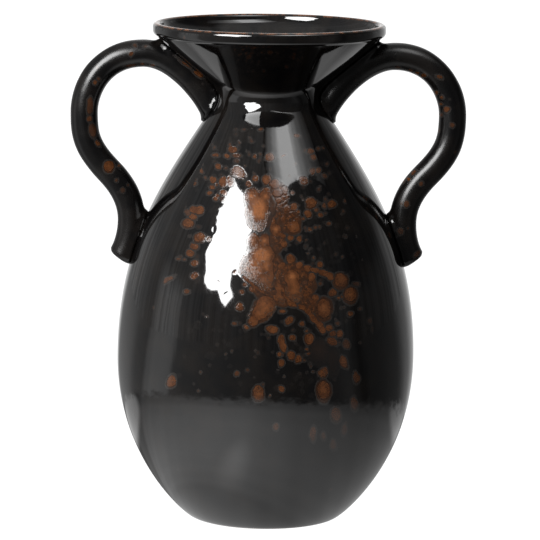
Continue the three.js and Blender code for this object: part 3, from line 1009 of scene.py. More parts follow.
@dataclass(frozen=True)
class GlazeMasks:
    """What lies at each place of a glazed piece, worked out from the marks it keeps.

    broad, patchy and fine are soft noise. shown is how far the crust of a blister hides the
    glaze, halo the grey ring round it, partly a paler meniscus and partly a painted reflection
    of the glaze's sloping edge, core its thicker middle, deep the heart of that, seam the line
    between two blisters, lumps the crumbs of core in a rim, pale how light its brown is, and
    frosted where it is grey.
    """

    broad: Socket
    patchy: Socket
    fine: Socket
    shown: Socket
    halo: Socket
    core: Socket
    deep: Socket
    seam: Socket
    lumps: Socket
    pale: Socket
    frosted: Socket


@dataclass(frozen=True)
class StonewareGlaze:
    """Near-black glaze that breaks to copper brown where it is thin or has blistered.

    A noise has its swells to the metre, its finer layers and their strength. An edge is the
    stretch of a crust or core mark, 0.5 at the edge of the blister, over which a mask rises.
    """

    name: str
    roughness: float = 0.035
    uneven_roughness: float = 0.03
    ior: float = 1.52
    black: Colour = (0.0011, 0.0010, 0.0011, 1)
    worn_black: Colour = (0.0030, 0.0023, 0.0019, 1)
    seam_brown: Colour = (0.0075, 0.0032, 0.0016, 1)
    rim_brown: Colour = (0.0155, 0.0064, 0.0030, 1)
    brown: Colour = (0.029, 0.0093, 0.0027, 1)
    light_brown: Colour = (0.126, 0.0455, 0.0155, 1)
    thin_brown: Colour = (0.095, 0.038, 0.016, 1)
    # Grey of the halo round blisters and specks: partly a paler meniscus, partly painted reflection of the
    # sloping glaze edge.
    halo_reflection_grey: Colour = (0.0115, 0.0098, 0.0088, 1)
    frost_grey: Colour = (0.0210, 0.0125, 0.0080, 1)
    crust_roughness: float = 0.075
    pale_roughness: float = 0.09
    pooled_roughness: float = 0.07
    frost_roughness: Pair = (0.17, 0.31)
    frost_thickness: Pair = (0.5, 0.95)
    speck_cells: float = 70.0
    speck_size: float = 0.15
    speck_amount: float = 0.05
    speck_rim: float = 0.5
    swells: float = 45.0
    grain: float = 0.01
    skin_depth: float = 0.08 * MM
    broad_noise: Triple = (38, 3, 0.5)
    patch_noise: Triple = (150, 3, 0.6)
    fine_noise: Triple = (520, 3, 0.65)
    frost_noise: Triple = (430, 4, 0.75)
    lump_noise: Triple = (290, 4, 0.7)
    wrinkle_noise: Triple = (640, 3, 0.65)
    raggedness: float = 0.09
    frost_grain: float = 3.0
    crust_edge: Pair = (0.495, 0.53)
    halo_edge: Pair = (0.42, 0.455)
    core_edge: Pair = (0.485, 0.535)
    seam_outer_edge: Pair = (0.43, 0.48)
    seam_inner_edge: Pair = (0.53, 0.485)
    deep_edge: Pair = (0.6, 0.95)
    lump_edge: Pair = (0.55, 0.68)
    lump_share: Pair = (0.45, 0.58)
    frost_edge: Pair = (0.3, 0.6)
    shown_tone: Pair = (0.0, 0.85)
    halo_tone: Pair = (0.0, 0.6)
    halo_strength: Pair = (0.15, 0.9)
    pale_tone: Pair = (1.0, 1.5)
    worn_share: Pair = (0.35, 0.7)
    thin_share: Pair = (0.38, 0.6)
    light_base: float = 0.36
    light_pale: float = 0.54
    light_patches: float = 0.2
    patch_share: Pair = (0.35, 0.65)
    seam_strength: float = 0.8
    stain_share: Pair = (0.5, 0.66)
    stain_strength: float = 0.6
    grey_share: Pair = (0.44, 0.58)
    grey_strength: Pair = (0.1, 0.9)
    dull_share: Pair = (0.3, 0.75)
    wrinkle_height: float = 1.2
    wrinkle_base: float = 0.8
    wrinkle_frost: float = 0.6

    def masks(self, bench: NodeBench, place: Socket) -> GlazeMasks:
        """Works out the masks from the marks of the piece.

        Args:
            bench: Where the nodes are added.
            place: Coordinates on the piece.

        Returns:
            The masks.
        """
        fine = bench.noise(place, *self.fine_noise)
        ragged = bench.math("MULTIPLY_ADD", fine, self.raggedness, -self.raggedness / 2)
        crust_mark = bench.math("ADD", bench.mark("crust"), ragged)
        core_mark = bench.math("ADD", bench.mark("core"), ragged)
        tone = bench.mark("tone")
        crust = bench.rise(crust_mark, *self.crust_edge)
        halo = bench.rise(crust_mark, *self.halo_edge)
        halo_strength = bench.rise(tone, *self.halo_tone, *self.halo_strength)
        seam_outer = bench.rise(core_mark, *self.seam_outer_edge)
        seam_inner = bench.rise(core_mark, *self.seam_inner_edge)
        crumbs = bench.rise(bench.noise(place, *self.lump_noise), *self.lump_share)
        granular = bench.noise(place, *self.frost_noise)
        frost = bench.math("SUBTRACT", bench.mark("frost"), self.frost_grain / 2)
        frost_mark = bench.math("MULTIPLY_ADD", granular, self.frost_grain, frost)
        return GlazeMasks(
            broad=bench.noise(place, *self.broad_noise),
            patchy=bench.noise(place, *self.patch_noise),
            fine=fine,
            shown=bench.product(crust, bench.rise(tone, *self.shown_tone)),
            halo=bench.product(halo, halo_strength),
            core=bench.rise(core_mark, *self.core_edge),
            deep=bench.rise(core_mark, *self.deep_edge),
            seam=bench.product(seam_outer, seam_inner),
            lumps=bench.product(bench.rise(crust_mark, *self.lump_edge), crumbs),
            pale=bench.rise(tone, *self.pale_tone),
            frosted=bench.rise(frost_mark, *self.frost_edge),
        )

    def black_ground(self, bench: NodeBench, masks: GlazeMasks, speckle: Node) -> Socket:
        """Lays the colours of the glaze where it has no blisters.

        Args:
            bench: Where the nodes are added.
            masks: The masks of the piece.
            speckle: Node that scatters the iron specks.

        Returns:
            The colour.
        """
        ground = bench.mixed(bench.rise(masks.broad, *self.worn_share), self.black, self.worn_black)
        # The specks' paler rims take the halo grey, partly painted reflection.
        speck_rim = bench.product(speckle.outputs["Rim"], self.speck_rim)
        ground = bench.mixed(speck_rim, ground, self.halo_reflection_grey)
        ground = bench.mixed(speckle.outputs["Speck"], ground, self.rim_brown)
        thin = bench.product(bench.mark("thin"), bench.rise(masks.patchy, *self.thin_share))
        ground = bench.mixed(thin, ground, self.thin_brown)
        # The grey halo round each blister is partly a paler meniscus and partly painted reflection of the
        # glaze's sloping edge.
        return bench.mixed(masks.halo, ground, self.halo_reflection_grey)

    def brown_crust(self, bench: NodeBench, masks: GlazeMasks) -> Socket:
        """Lays the colours of the blisters, brown or a frosted grey.

        Args:
            bench: Where the nodes are added.
            masks: The masks of the piece.

        Returns:
            The colour.
        """
        lit = bench.math("MULTIPLY_ADD", masks.pale, self.light_pale, self.light_base)
        patches = bench.rise(masks.patchy, *self.patch_share)
        deep = bench.product(masks.deep, lit)
        light = bench.math("MULTIPLY_ADD", patches, self.light_patches, deep, clamp=True)
        crest = bench.mixed(light, self.brown, self.light_brown)
        crust = bench.mixed(bench.math("MAXIMUM", masks.core, masks.lumps), self.rim_brown, crest)
        crust = bench.mixed(bench.product(masks.seam, self.seam_strength), crust, self.seam_brown)
        stains = bench.rise(masks.fine, *self.stain_share, 0.0, self.stain_strength)
        crust = bench.mixed(stains, crust, self.rim_brown)
        grains = bench.rise(masks.fine, *self.grey_share, *self.grey_strength)
        return bench.mixed(masks.frosted, crust, bench.mixed(grains, self.frost_grey, crest))

    def dullness(self, bench: NodeBench, masks: GlazeMasks) -> Socket:
        """Works out the roughness.

        Args:
            bench: Where the nodes are added.
            masks: The masks of the piece.

        Returns:
            The roughness.
        """
        roughest = self.roughness + self.uneven_roughness
        glaze = bench.rise(masks.broad, *self.dull_share, self.roughness, roughest)
        glaze = bench.blend(bench.mark("pooled"), glaze, min(self.roughness, self.pooled_roughness))
        crust = bench.blend(masks.pale, self.crust_roughness, self.pale_roughness)
        frost = bench.rise(bench.mark("frost"), *self.frost_thickness, *self.frost_roughness)
        return bench.blend(masks.shown, glaze, bench.blend(masks.frosted, crust, frost))

    def skin(self, bench: NodeBench, masks: GlazeMasks, place: Socket, group: bpy.types.NodeTree) -> Socket:
        """Works out the fine relief.

        Args:
            bench: Where the nodes are added.
            masks: The masks of the piece.
            place: Coordinates on the piece.
            group: The group for the uneven skin of the glaze.

        Returns:
            The normal.
        """
        entries = {"Place": place, "Swells": self.swells, "Grain": self.grain}
        surface = bench.add("ShaderNodeGroup", entries, node_tree=group)
        strength = bench.math("MULTIPLY_ADD", masks.frosted, self.wrinkle_frost, self.wrinkle_base)
        wrinkles = bench.product(masks.shown, strength)
        wrinkled = bench.product(bench.noise(place, *self.wrinkle_noise), wrinkles)
        height = bench.math("MULTIPLY_ADD", wrinkled, self.wrinkle_height, surface.outputs["Height"])
        return bench.bump(height, 1.0, self.skin_depth)

    def build(self, specks: bpy.types.NodeTree, skin: bpy.types.NodeTree) -> Material:
        """Builds the material.

        Args:
            specks: The group that scatters iron specks.
            skin: The group for the uneven skin of the glaze.

        Returns:
            The finished material.
        """
        material, bench, shader = new_material(self.name)
        place = bench.here()
        masks = self.masks(bench, place)
        sizes = {"Cells": self.speck_cells, "Size": self.speck_size, "Amount": self.speck_amount}
        speckle = bench.add("ShaderNodeGroup", {"Place": place, **sizes}, node_tree=specks)
        ground = self.black_ground(bench, masks, speckle)
        colour = bench.mixed(masks.shown, ground, self.brown_crust(bench, masks))
        bench.fill(shader, {"Base Color": colour, "Roughness": self.dullness(bench, masks), "IOR": self.ior})
        bench.fill(shader, {"Normal": self.skin(bench, masks, place, skin)})
        return material


@dataclass(frozen=True)
class DryClay:
    """Unglazed stoneware of the foot, sanded smooth and speckled with grog."""

    name: str = "dry_stoneware"
    pale: Colour = (0.33, 0.24, 0.165, 1)
    toasted: Colour = (0.17, 0.10, 0.06, 1)
    grog: Colour = (0.05, 0.035, 0.025, 1)
    roughness: Pair = (0.76, 0.86)
    cloud_noise: Triple = (22, 4, 0.5)
    grain_noise: Triple = (900, 3, 0.7)
    toasted_share: Pair = (0.35, 0.7)
    grog_share: Pair = (0.6, 0.72)
    grain_share: Pair = (0.3, 0.7)
    grain_strength: float = 0.8
    grain_depth: float = 0.12 * MM

    def build(self) -> Material:
        """Builds the material.

        Returns:
            The finished material.
        """
        material, bench, shader = new_material(self.name)
        place = bench.here()
        cloud = bench.noise(place, *self.cloud_noise)
        grain = bench.noise(place, *self.grain_noise)
        base = bench.mixed(bench.rise(cloud, *self.toasted_share), self.pale, self.toasted)
        base = bench.mixed(bench.rise(grain, *self.grog_share), base, self.grog)
        roughness = bench.rise(grain, *self.grain_share, *self.roughness)
        normal = bench.bump(grain, self.grain_strength, self.grain_depth)
        bench.fill(shader, {"Base Color": base, "Roughness": roughness, "Normal": normal})
        return material


# Mesh tools.


def nothing_selected() -> None:
    """Leaves edit mode and deselects every object."""
    if bpy.context.object and bpy.context.object.mode != "OBJECT":
        bpy.ops.object.mode_set(mode="OBJECT")
    bpy.ops.object.select_all(action="DESELECT")


def only(piece: Piece) -> None:
    """Selects one object and makes it the active one."""
    nothing_selected()
    piece.select_set(True)
    bpy.context.view_layer.objects.active = piece


def linked(name: str, data: bpy.types.ID) -> Piece:
    """Puts a mesh or a curve into the scene as an object."""
    piece = bpy.data.objects.new(name, data)
    bpy.context.collection.objects.link(piece)
    return piece


def opened(piece: Piece) -> None:
    """Opens a piece in edit mode, all of it selected."""
    only(piece)
    bpy.ops.object.mode_set(mode="EDIT")
    bpy.ops.mesh.select_all(action="SELECT")


def welded() -> None:
    """Merges vertices that coincide in the open piece, turns its faces outward and closes it."""
    bpy.ops.mesh.remove_doubles(threshold=0.01 * MM)
    bpy.ops.mesh.normals_make_consistent(inside=False)
    bpy.ops.object.mode_set(mode="OBJECT")


def spun(name: str, chain: Array, columns: int) -> Piece:
    """Spins a section about the upright axis.

    Args:
        name: Name of the object.
        chain: The section, points of radius and height.
        columns: Number of steps round the axis.

    Returns:
        The closed skin.
    """
    corners = [(0.0, -r, z) for r, z in chain]
    mesh = bpy.data.meshes.new(name)
    mesh.from_pydata(corners, [(i, i + 1) for i in range(len(corners) - 1)], [])
    piece = linked(name, mesh)
    opened(piece)
    bpy.ops.mesh.spin(steps=columns, angle=2 * math.pi, center=(0, 0, 0), axis=(0, 0, 1))
    bpy.ops.mesh.select_all(action="SELECT")
    welded()
    return piece


def vertex_places(piece: Piece) -> Array:
    """Reads the vertices of a mesh as one point a row."""
    places = np.empty(len(piece.data.vertices) * 3)
    piece.data.vertices.foreach_get("co", places)
    return places.reshape(-1, 3)


def vertex_normals(piece: Piece) -> Array:
    """Reads the vertex normals of a mesh as one vector a row."""
    normals = np.empty(len(piece.data.vertices) * 3, np.float32)
    piece.data.vertex_normals.foreach_get("vector", normals)
    return normals.reshape(-1, 3).astype(float)


def move_vertices(piece: Piece, places: Array) -> None:
    """Writes new vertex places into a mesh."""
    piece.data.vertices.foreach_set("co", places.ravel())
    piece.data.update()


def keep_mark(piece: Piece, name: str, values: Array) -> None:
    """Keeps a number at each vertex of a piece, for its finish to read."""
    mark = piece.data.attributes.new(name, "FLOAT", "POINT")
    mark.data.foreach_set("value", values.astype(np.float32))


def shown_smooth(piece: Piece) -> None:
    """Shades every face of a piece smooth."""
    only(piece)
    bpy.ops.object.shade_smooth()


def dressed(piece: Piece, name: str, material: Material, slot: Slot, *nodes: str) -> Piece:
    """Names and dresses a finished piece and ties it to the frame.

    Args:
        piece: The mesh object.
        name: Its name in the table.
        material: Its finish.
        slot: Slot of the record that the finish belongs to; not used.
        nodes: CAD nodes that it stands for.

    Returns:
        The same object.
    """
    piece.name = name
    piece.data.name = name
    piece.data.materials.clear()
    piece.data.materials.append(material)
    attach(piece, "root")
    if nodes:
        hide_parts(*nodes)
    triangles = sum(len(face.vertices) - 2 for face in piece.data.polygons)
    log.info("%s: %d triangles", name, triangles)
    return piece


# The pot.


@dataclass(frozen=True)
class PotSection:
    """Section of the pot, with the same driving sizes as the CAD source."""

    vase_height: float = 530 * MM
    foot_radius: float = 74 * MM
    foot_rounding: float = 14 * MM
    foot_leaving_angle: float = 34
    foot_pull: float = 23 * MM
    disc_thickness: float = 14 * MM
    wall_thickness: float = 8.5 * MM
    belly_radius: float = 158.5 * MM
    belly_height: float = 174 * MM
    belly_pull_down: float = 98 * MM
    belly_pull_up: float = 125 * MM
    shoulder_slope: float = 33
    shoulder_pull: float = 85 * MM
    collar_rise: float = 15.7 * MM
    collar_flare: float = 6.7 * MM
    collar_pull: float = 9 * MM
    throat_radius: float = 55.2 * MM
    throat_drop: float = 77.3 * MM
    throat_pull_down: float = 3 * MM
    throat_pull_up: float = 4 * MM
    funnel_rise: float = 14.3 * MM
    funnel_flare: float = 7.6 * MM
    funnel_slope: float = 47.7
    funnel_pull_down: float = 4 * MM
    funnel_pull: float = 18 * MM
    mouth_radius: float = 121 * MM
    mouth_slope: float = 44
    mouth_pull: float = 11 * MM
    lip_height: float = 12.5 * MM
    lip_radius: float = 123.5 * MM
    lip_thickness: float = 8.6 * MM
    lip_swell: float = 4.5 * MM
    lip_softness: float = 2 * MM
    drip: float = 0.9 * MM
    floor_sweep: float = 26 * MM
    inner_spacing: float = 6 * MM

    @property
    def lip_seat(self) -> float:
        """Height where the lip sits on the wall."""
        return self.vase_height - self.lip_height

    @property
    def throat_height(self) -> float:
        """Height of the narrowest place."""
        return self.vase_height - self.throat_drop

    def outside(self) -> Array:
        """Draws the outside of the pot from the edge of its flat foot up to the seat of the lip.

        Returns:
            Closely spaced points of radius and height.
        """
        foot_middle = np.array([self.foot_radius, self.foot_rounding])
        foot = arc(foot_middle, self.foot_rounding, -90, self.foot_leaving_angle - 90, 12)
        belly = np.array([self.belly_radius, self.belly_height])
        throat = np.array([self.throat_radius, self.throat_height])
        collar_foot = throat + np.array([self.collar_flare, -self.collar_rise])
        funnel_root = throat + np.array([self.funnel_flare, self.funnel_rise])
        shoulderward, mouthward = from_upright(180 - self.shoulder_slope), from_upright(self.funnel_slope)
        mouth = np.array([self.mouth_radius, self.lip_seat])
        foot_pull = from_upright(90 - self.foot_leaving_angle) * self.foot_pull
        mouth_pull = from_upright(self.mouth_slope) * -self.mouth_pull
        lower = bezier(foot[-1], foot_pull, np.array([0, -self.belly_pull_down]), belly, 120)
        upper = bezier(
            belly,
            np.array([0, self.belly_pull_up]),
            shoulderward * self.shoulder_pull,
            collar_foot,
            160,
        )
        collar = bezier(
            collar_foot,
            shoulderward * -self.collar_pull,
            np.array([0, -self.throat_pull_down]),
            throat,
            24,
        )
        waist = bezier(
            throat,
            np.array([0, self.throat_pull_up]),
            mouthward * -self.funnel_pull_down,
            funnel_root,
            24,
        )
        funnel = bezier(funnel_root, mouthward * self.funnel_pull, mouth_pull, mouth, 60)
        return joined(foot, lower, upper, collar, waist, funnel)

    def lip(self) -> Array:
        """Draws the rolled lip from its seat over the top to its inner edge.

        Returns:
            Points of radius and height.
        """
        half = self.lip_thickness / 2
        seat = np.array([self.mouth_radius, self.lip_seat])
        flank = np.array([self.lip_radius, self.lip_seat + self.lip_swell])
        seat_pull = np.array([self.lip_softness / 2, 0])
        swell = bezier(seat, seat_pull, np.array([0, -self.lip_softness]), flank, 6)
        roll = arc(np.array([self.lip_radius - half, self.vase_height - half]), half, 0, 180, 14)
        return joined(swell, np.vstack([flank, roll[0]]), roll)

    def inside(self) -> Array:
        """Draws the inner wall from below the lip down to the floor of the pot.

        Returns:
            Points of radius and height, falling.
        """
        outer = respaced(self.outside(), 3 * MM)
        inner = outer - outward(outer) * self.wall_thickness
        above_floor = inner[:, 1] > self.disc_thickness + 1 * MM
        below_lip = inner[:, 1] < self.lip_seat - 0.5 * MM
        return inner[above_floor & below_lip][::-1]

    def closed(self, spacing: float) -> Array:
        """Draws the whole skin, from the axis under the pot round the lip to the axis inside it.

        Args:
            spacing: Distance between the rows of the outer wall.

        Returns:
            Points of radius and height.
        """
        outer = self.outside()
        glazed = outer[outer[:, 1] > self.drip]
        hidden_start = np.array(
            [
                [0, 6 * MM],
                [60 * MM, 6 * MM],
                [72 * MM, 4 * MM],
                [73.5 * MM, 1.6 * MM],
                [glazed[0, 0] - 1.0 * MM, self.drip * 0.9],
            ]
        )
        inner_lip = bezier(
            self.lip()[-1],
            np.array([0, -self.lip_softness * 2]),
            from_upright(self.funnel_slope) * self.lip_softness * 2,
            self.inside()[0],
            6,
        )
        wall = respaced(glazed, spacing)
        inner = respaced(joined(inner_lip, self.inside()), self.inner_spacing)
        floor_edge = np.array([inner[-1, 0] - self.floor_sweep, self.disc_thickness])
        floor = bezier(inner[-1], np.array([-4 * MM, -6 * MM]), np.array([6 * MM, 0]), floor_edge, 8)
        pole = np.column_stack([np.linspace(floor[-1, 0], 0, 9), np.full(9, self.disc_thickness)])
        return joined(np.vstack([hidden_start, wall]), self.lip(), inner, floor, pole)

    def distance(self, radius: Array, height: Array) -> tuple[Array, Array]:
        """Measures how far places are from the outside of the pot.

        Args:
            radius: Distance of each place from the axis.
            height: Height of each place.

        Returns:
            The distance, less than 0 inside, and the way out in the section plane.
        """
        chain = respaced(self.outside(), 2.5 * MM)
        place = np.column_stack([radius, height])
        start, span = chain[:-1], np.diff(chain, axis=0)
        length = np.sum(span**2, axis=1)
        best = np.full(len(place), np.inf)
        foot = np.zeros_like(place)
        out = np.zeros_like(place)
        for index in range(len(start)):
            share = np.clip((place - start[index]) @ span[index] / length[index], 0, 1)
            nearest = start[index] + share[:, None] * span[index]
            gap = np.sum((place - nearest) ** 2, axis=1)
            closer = gap < best
            best[closer] = gap[closer]
            foot[closer] = nearest[closer]
            out[closer] = np.array([span[index, 1], -span[index, 0]]) / math.sqrt(length[index])
        return np.sum((place - foot) * out, axis=1), out


def hand_unevenness(places: Array) -> Array:
    """Gives the slow swells that a hand leaves in a thrown wall.

    Args:
        places: Points of the wall.

    Returns:
        How far each point moves out, in metres.
    """
    broad = lattice_noise(places, 85 * MM, 11)
    middle = lattice_noise(places, 34 * MM, 12)
    return (0.22 * broad + 0.06 * middle) * MM


@dataclass
class GlazedWall:
    """Wall, neck and lip of the pot as one glazed skin, spun from its section.

    The swells of the wall set in over swell_start above the foot and fade over lip_fade at
    the lip, where lip_share of them is left. The glaze thins over thin_edge below the top.
    """

    section: PotSection
    spacing: float = 2.6 * MM
    columns: int = 240
    swell_start: Pair = (2 * MM, 20 * MM)
    lip_fade: float = 2 * MM
    lip_share: float = 0.25
    thin_edge: Pair = (1.9 * MM, 0.3 * MM)

    def build(self, glaze: Material) -> Piece:
        """Builds and dresses the wall.

        Args:
            glaze: Its finish.

        Returns:
            The finished piece.
        """
        piece = spun("section", self.section.closed(self.spacing), self.columns)
        shown_smooth(piece)
        places, normals = vertex_places(piece), vertex_normals(piece)
        above_foot = smooth_step(*self.swell_start, places[:, 2])
        lip_seat, top = self.section.lip_seat, self.section.vase_height
        below_lip = 1 - smooth_step(lip_seat, lip_seat + self.lip_fade, places[:, 2])
        sway = hand_unevenness(places) * above_foot * (self.lip_share + (1 - self.lip_share) * below_lip)
        move_vertices(piece, places + normals * sway[:, None])
        thick, thin = self.thin_edge
        keep_mark(piece, "thin", smooth_step(top - thick, top - thin, places[:, 2]))
        return dressed(piece, "glazed_wall", glaze, Slot.WALL, "body_wall", "neck_collar", "lip_coil")


@dataclass
class BlisterSplash:
    """Thick blistered glaze on the front of the pot, a thin shell that lies on the wall.

    Its edges and turns are angles round the pot in degrees, from the camera's side.
    """

    section: PotSection
    camera: PictureCamera
    field: BlisterField
    left_edge: float = -51
    right_edge: float = 50
    left_fine: float = -36
    right_fine: float = 41
    fine_turn: float = 0.35
    coarse_turn: float = 0.7
    low: float = 72 * MM
    low_fine: float = 135 * MM
    high_fine: float = 402 * MM
    high: float = 443 * MM
    fine_row: float = 0.93 * MM
    coarse_row: float = 2.4 * MM
    lift: float = 0.38 * MM
    sink: float = 0.06 * MM
    border: float = 0.12
    mark_border: float = 0.015
    back_depth: float = 2.5 * MM
    back_step: int = 12

    def graded(self, edges: tuple[float, ...], fine: float, coarse: float) -> Array:
        """Spaces grid lines closely in the middle stretch and widely outside it.

        Args:
            edges: Start, start of the fine stretch, its end, and the end.
            fine: Spacing in the fine stretch.
            coarse: Spacing outside it.

        Returns:
            The places of the lines, their number less one a multiple of the back's step.
        """
        low, low_fine, high_fine, high = edges
        parts = [
            np.arange(low, low_fine, coarse),
            np.arange(low_fine, high_fine, fine),
            np.arange(high_fine, high, coarse),
        ]
        rough = np.concatenate([*parts, [high]])
        count = math.ceil((len(rough) - 1) / self.back_step) * self.back_step + 1
        return np.interp(np.linspace(0, 1, count), np.linspace(0, 1, len(rough)), rough)

    def grid(self) -> tuple[Array, Array, Array]:
        """Lays the grid lines on the pot.

        Returns:
            Places and normals, rows by columns, and how far inside the border each lies.
        """
        outer = self.section.outside()
        normals = outward(outer)
        run = run_length(outer)
        heights = (self.low, self.low_fine, self.high_fine, self.high)
        run_at = tuple(float(np.interp(z, outer[:, 1], run)) for z in heights)
        rows = self.graded(run_at, self.fine_row, self.coarse_row)
        sides = (self.left_edge, self.left_fine, self.right_fine, self.right_edge)
        turn = np.radians(self.graded(sides, self.fine_turn, self.coarse_turn))
        around = np.stack([np.sin(turn), -np.cos(turn)], axis=1)

        def laid(section: Array) -> Array:
            """Turns points or ways of the section plane round the pot, rows by columns."""
            outer_part, upright_part = (np.interp(rows, run, section[:, axis]) for axis in (0, 1))
            grid = np.empty((len(rows), len(turn), 3))
            grid[..., :2] = outer_part[:, None, None] * around[None]
            grid[..., 2] = upright_part[:, None]
            return grid

        across = np.linspace(0, 1, len(turn))
        up = np.linspace(0, 1, len(rows))
        edge = np.minimum(np.minimum(across, 1 - across)[None, :], np.minimum(up, 1 - up)[:, None])
        return laid(outer), laid(normals), edge

    def build(self, glaze: Material) -> Piece:
        """Builds and dresses the splash.

        Args:
            glaze: Its finish.

        Returns:
            The finished piece.
        """
        places, ways, edge = self.grid()
        rows, columns = edge.shape
        flat, out = places.reshape(-1, 3), ways.reshape(-1, 3)
        marks = self.field.over(self.camera.pixels(flat))
        inside = smooth_step(0, self.border, edge.ravel())
        raised = hand_unevenness(flat) - self.sink + inside * (self.lift + self.sink + marks.rise)
        bpy.ops.mesh.primitive_grid_add(x_subdivisions=columns - 1, y_subdivisions=rows - 1, size=2)
        piece = bpy.context.object
        start = vertex_places(piece)
        column = np.rint((start[:, 0] + 1) / 2 * (columns - 1)).astype(int)
        row = np.rint((start[:, 1] + 1) / 2 * (rows - 1)).astype(int)
        index = row * columns + column
        move_vertices(piece, (flat + out * raised[:, None])[index])
        marks.keep(piece, smooth_step(0, self.mark_border, edge.ravel()), index)
        self.close_back(piece, flat - out * self.back_depth, (rows, columns), index)
        shown_smooth(piece)
        return dressed(piece, "blister_splash", glaze, Slot.WALL)

    def close_back(self, piece: Piece, sunk: Array, shape: tuple[int, int], index: Array) -> None:
        """Closes the shell with a coarse back that lies inside the thickness of the wall.

        Args:
            piece: The grid, already on the pot.
            sunk: Places inside the wall for the back, row by row.
            shape: Number of rows and of columns.
            index: Which place each vertex of the grid took.
        """
        step = self.back_step
        rows, columns = shape
        shell = bmesh.new()
        shell.from_mesh(piece.data)
        shell.verts.ensure_lookup_table()
        vertex_at = np.empty(rows * columns, int)
        vertex_at[index] = np.arange(rows * columns)
        back: dict[tuple[int, int], bmesh.types.BMVert] = {}

        def corner(row: int, column: int) -> bmesh.types.BMVert:
            """Gives the vertex of the back at a grid crossing, the rim's own at the border."""
            at = row * columns + column
            if row in (0, rows - 1) or column in (0, columns - 1):
                return shell.verts[int(vertex_at[at])]
            if (row, column) not in back:
                back[row, column] = shell.verts.new(sunk[at])
                shell.verts.ensure_lookup_table()
            return back[row, column]

        for row, column in itertools.product(range(0, rows - 1, step), range(0, columns - 1, step)):
            next_row, next_column = row + step, column + step
            on_rim = (row == 0, next_column == columns - 1, next_row == rows - 1, column == 0)
            ring = []
            for side, runs_on_rim in enumerate(on_rim):
                for k in range(step if runs_on_rim else 1):
                    crossings = (
                        (row, column + k),
                        (row + k, next_column),
                        (next_row, next_column - k),
                        (next_row - k, column),
                    )
                    ring.append(corner(*crossings[side]))
            shell.faces.new(ring[::-1])
        bmesh.ops.recalc_face_normals(shell, faces=shell.faces)
        shell.to_mesh(piece.data)
        shell.free()
        piece.data.update()


@dataclass
class BareFoot:
    """Dry clay of the foot: a sanded ring round a shallow recess, below the glaze line."""

    section: PotSection
    ring_width: float = 11 * MM
    recess_depth: float = 2.5 * MM
    recess_bevel: float = 1.2 * MM
    tuck: float = 0.5 * MM
    tuck_start: Pair = (0.4 * MM, 2 * MM)
    top: float = 10 * MM
    columns: int = 160

    def build(self, clay: Material) -> Piece:
        """Builds and dresses the foot.

        Args:
            clay: Its finish.

        Returns:
            The finished piece.
        """
        outer = self.section.outside()
        side = outer[outer[:, 1] <= self.top]
        inset = side - outward(side) * self.tuck * smooth_step(*self.tuck_start, side[:, 1])[:, None]
        ring_inner = self.section.foot_radius - self.ring_width
        under = np.array(
            [
                [0, self.recess_depth],
                [ring_inner * 0.5, self.recess_depth],
                [ring_inner - self.recess_bevel * 2.2, self.recess_depth],
                [ring_inner - self.recess_bevel, self.recess_depth * 0.86],
                [ring_inner - self.recess_bevel * 0.3, self.recess_depth * 0.35],
                [ring_inner + self.recess_bevel * 0.4, 0.25 * MM],
                [ring_inner + self.recess_bevel * 1.3, 0],
                [ring_inner + self.ring_width * 0.7, 0],
            ]
        )
        top = np.array([[inset[-1, 0] * 0.5, self.top], [0, self.top]])
        piece = spun("foot_section", np.vstack([under, inset, top]), self.columns)
        shown_smooth(piece)
        return dressed(piece, "bare_foot", clay, Slot.FOOT, "foot_disc")


# The handles.


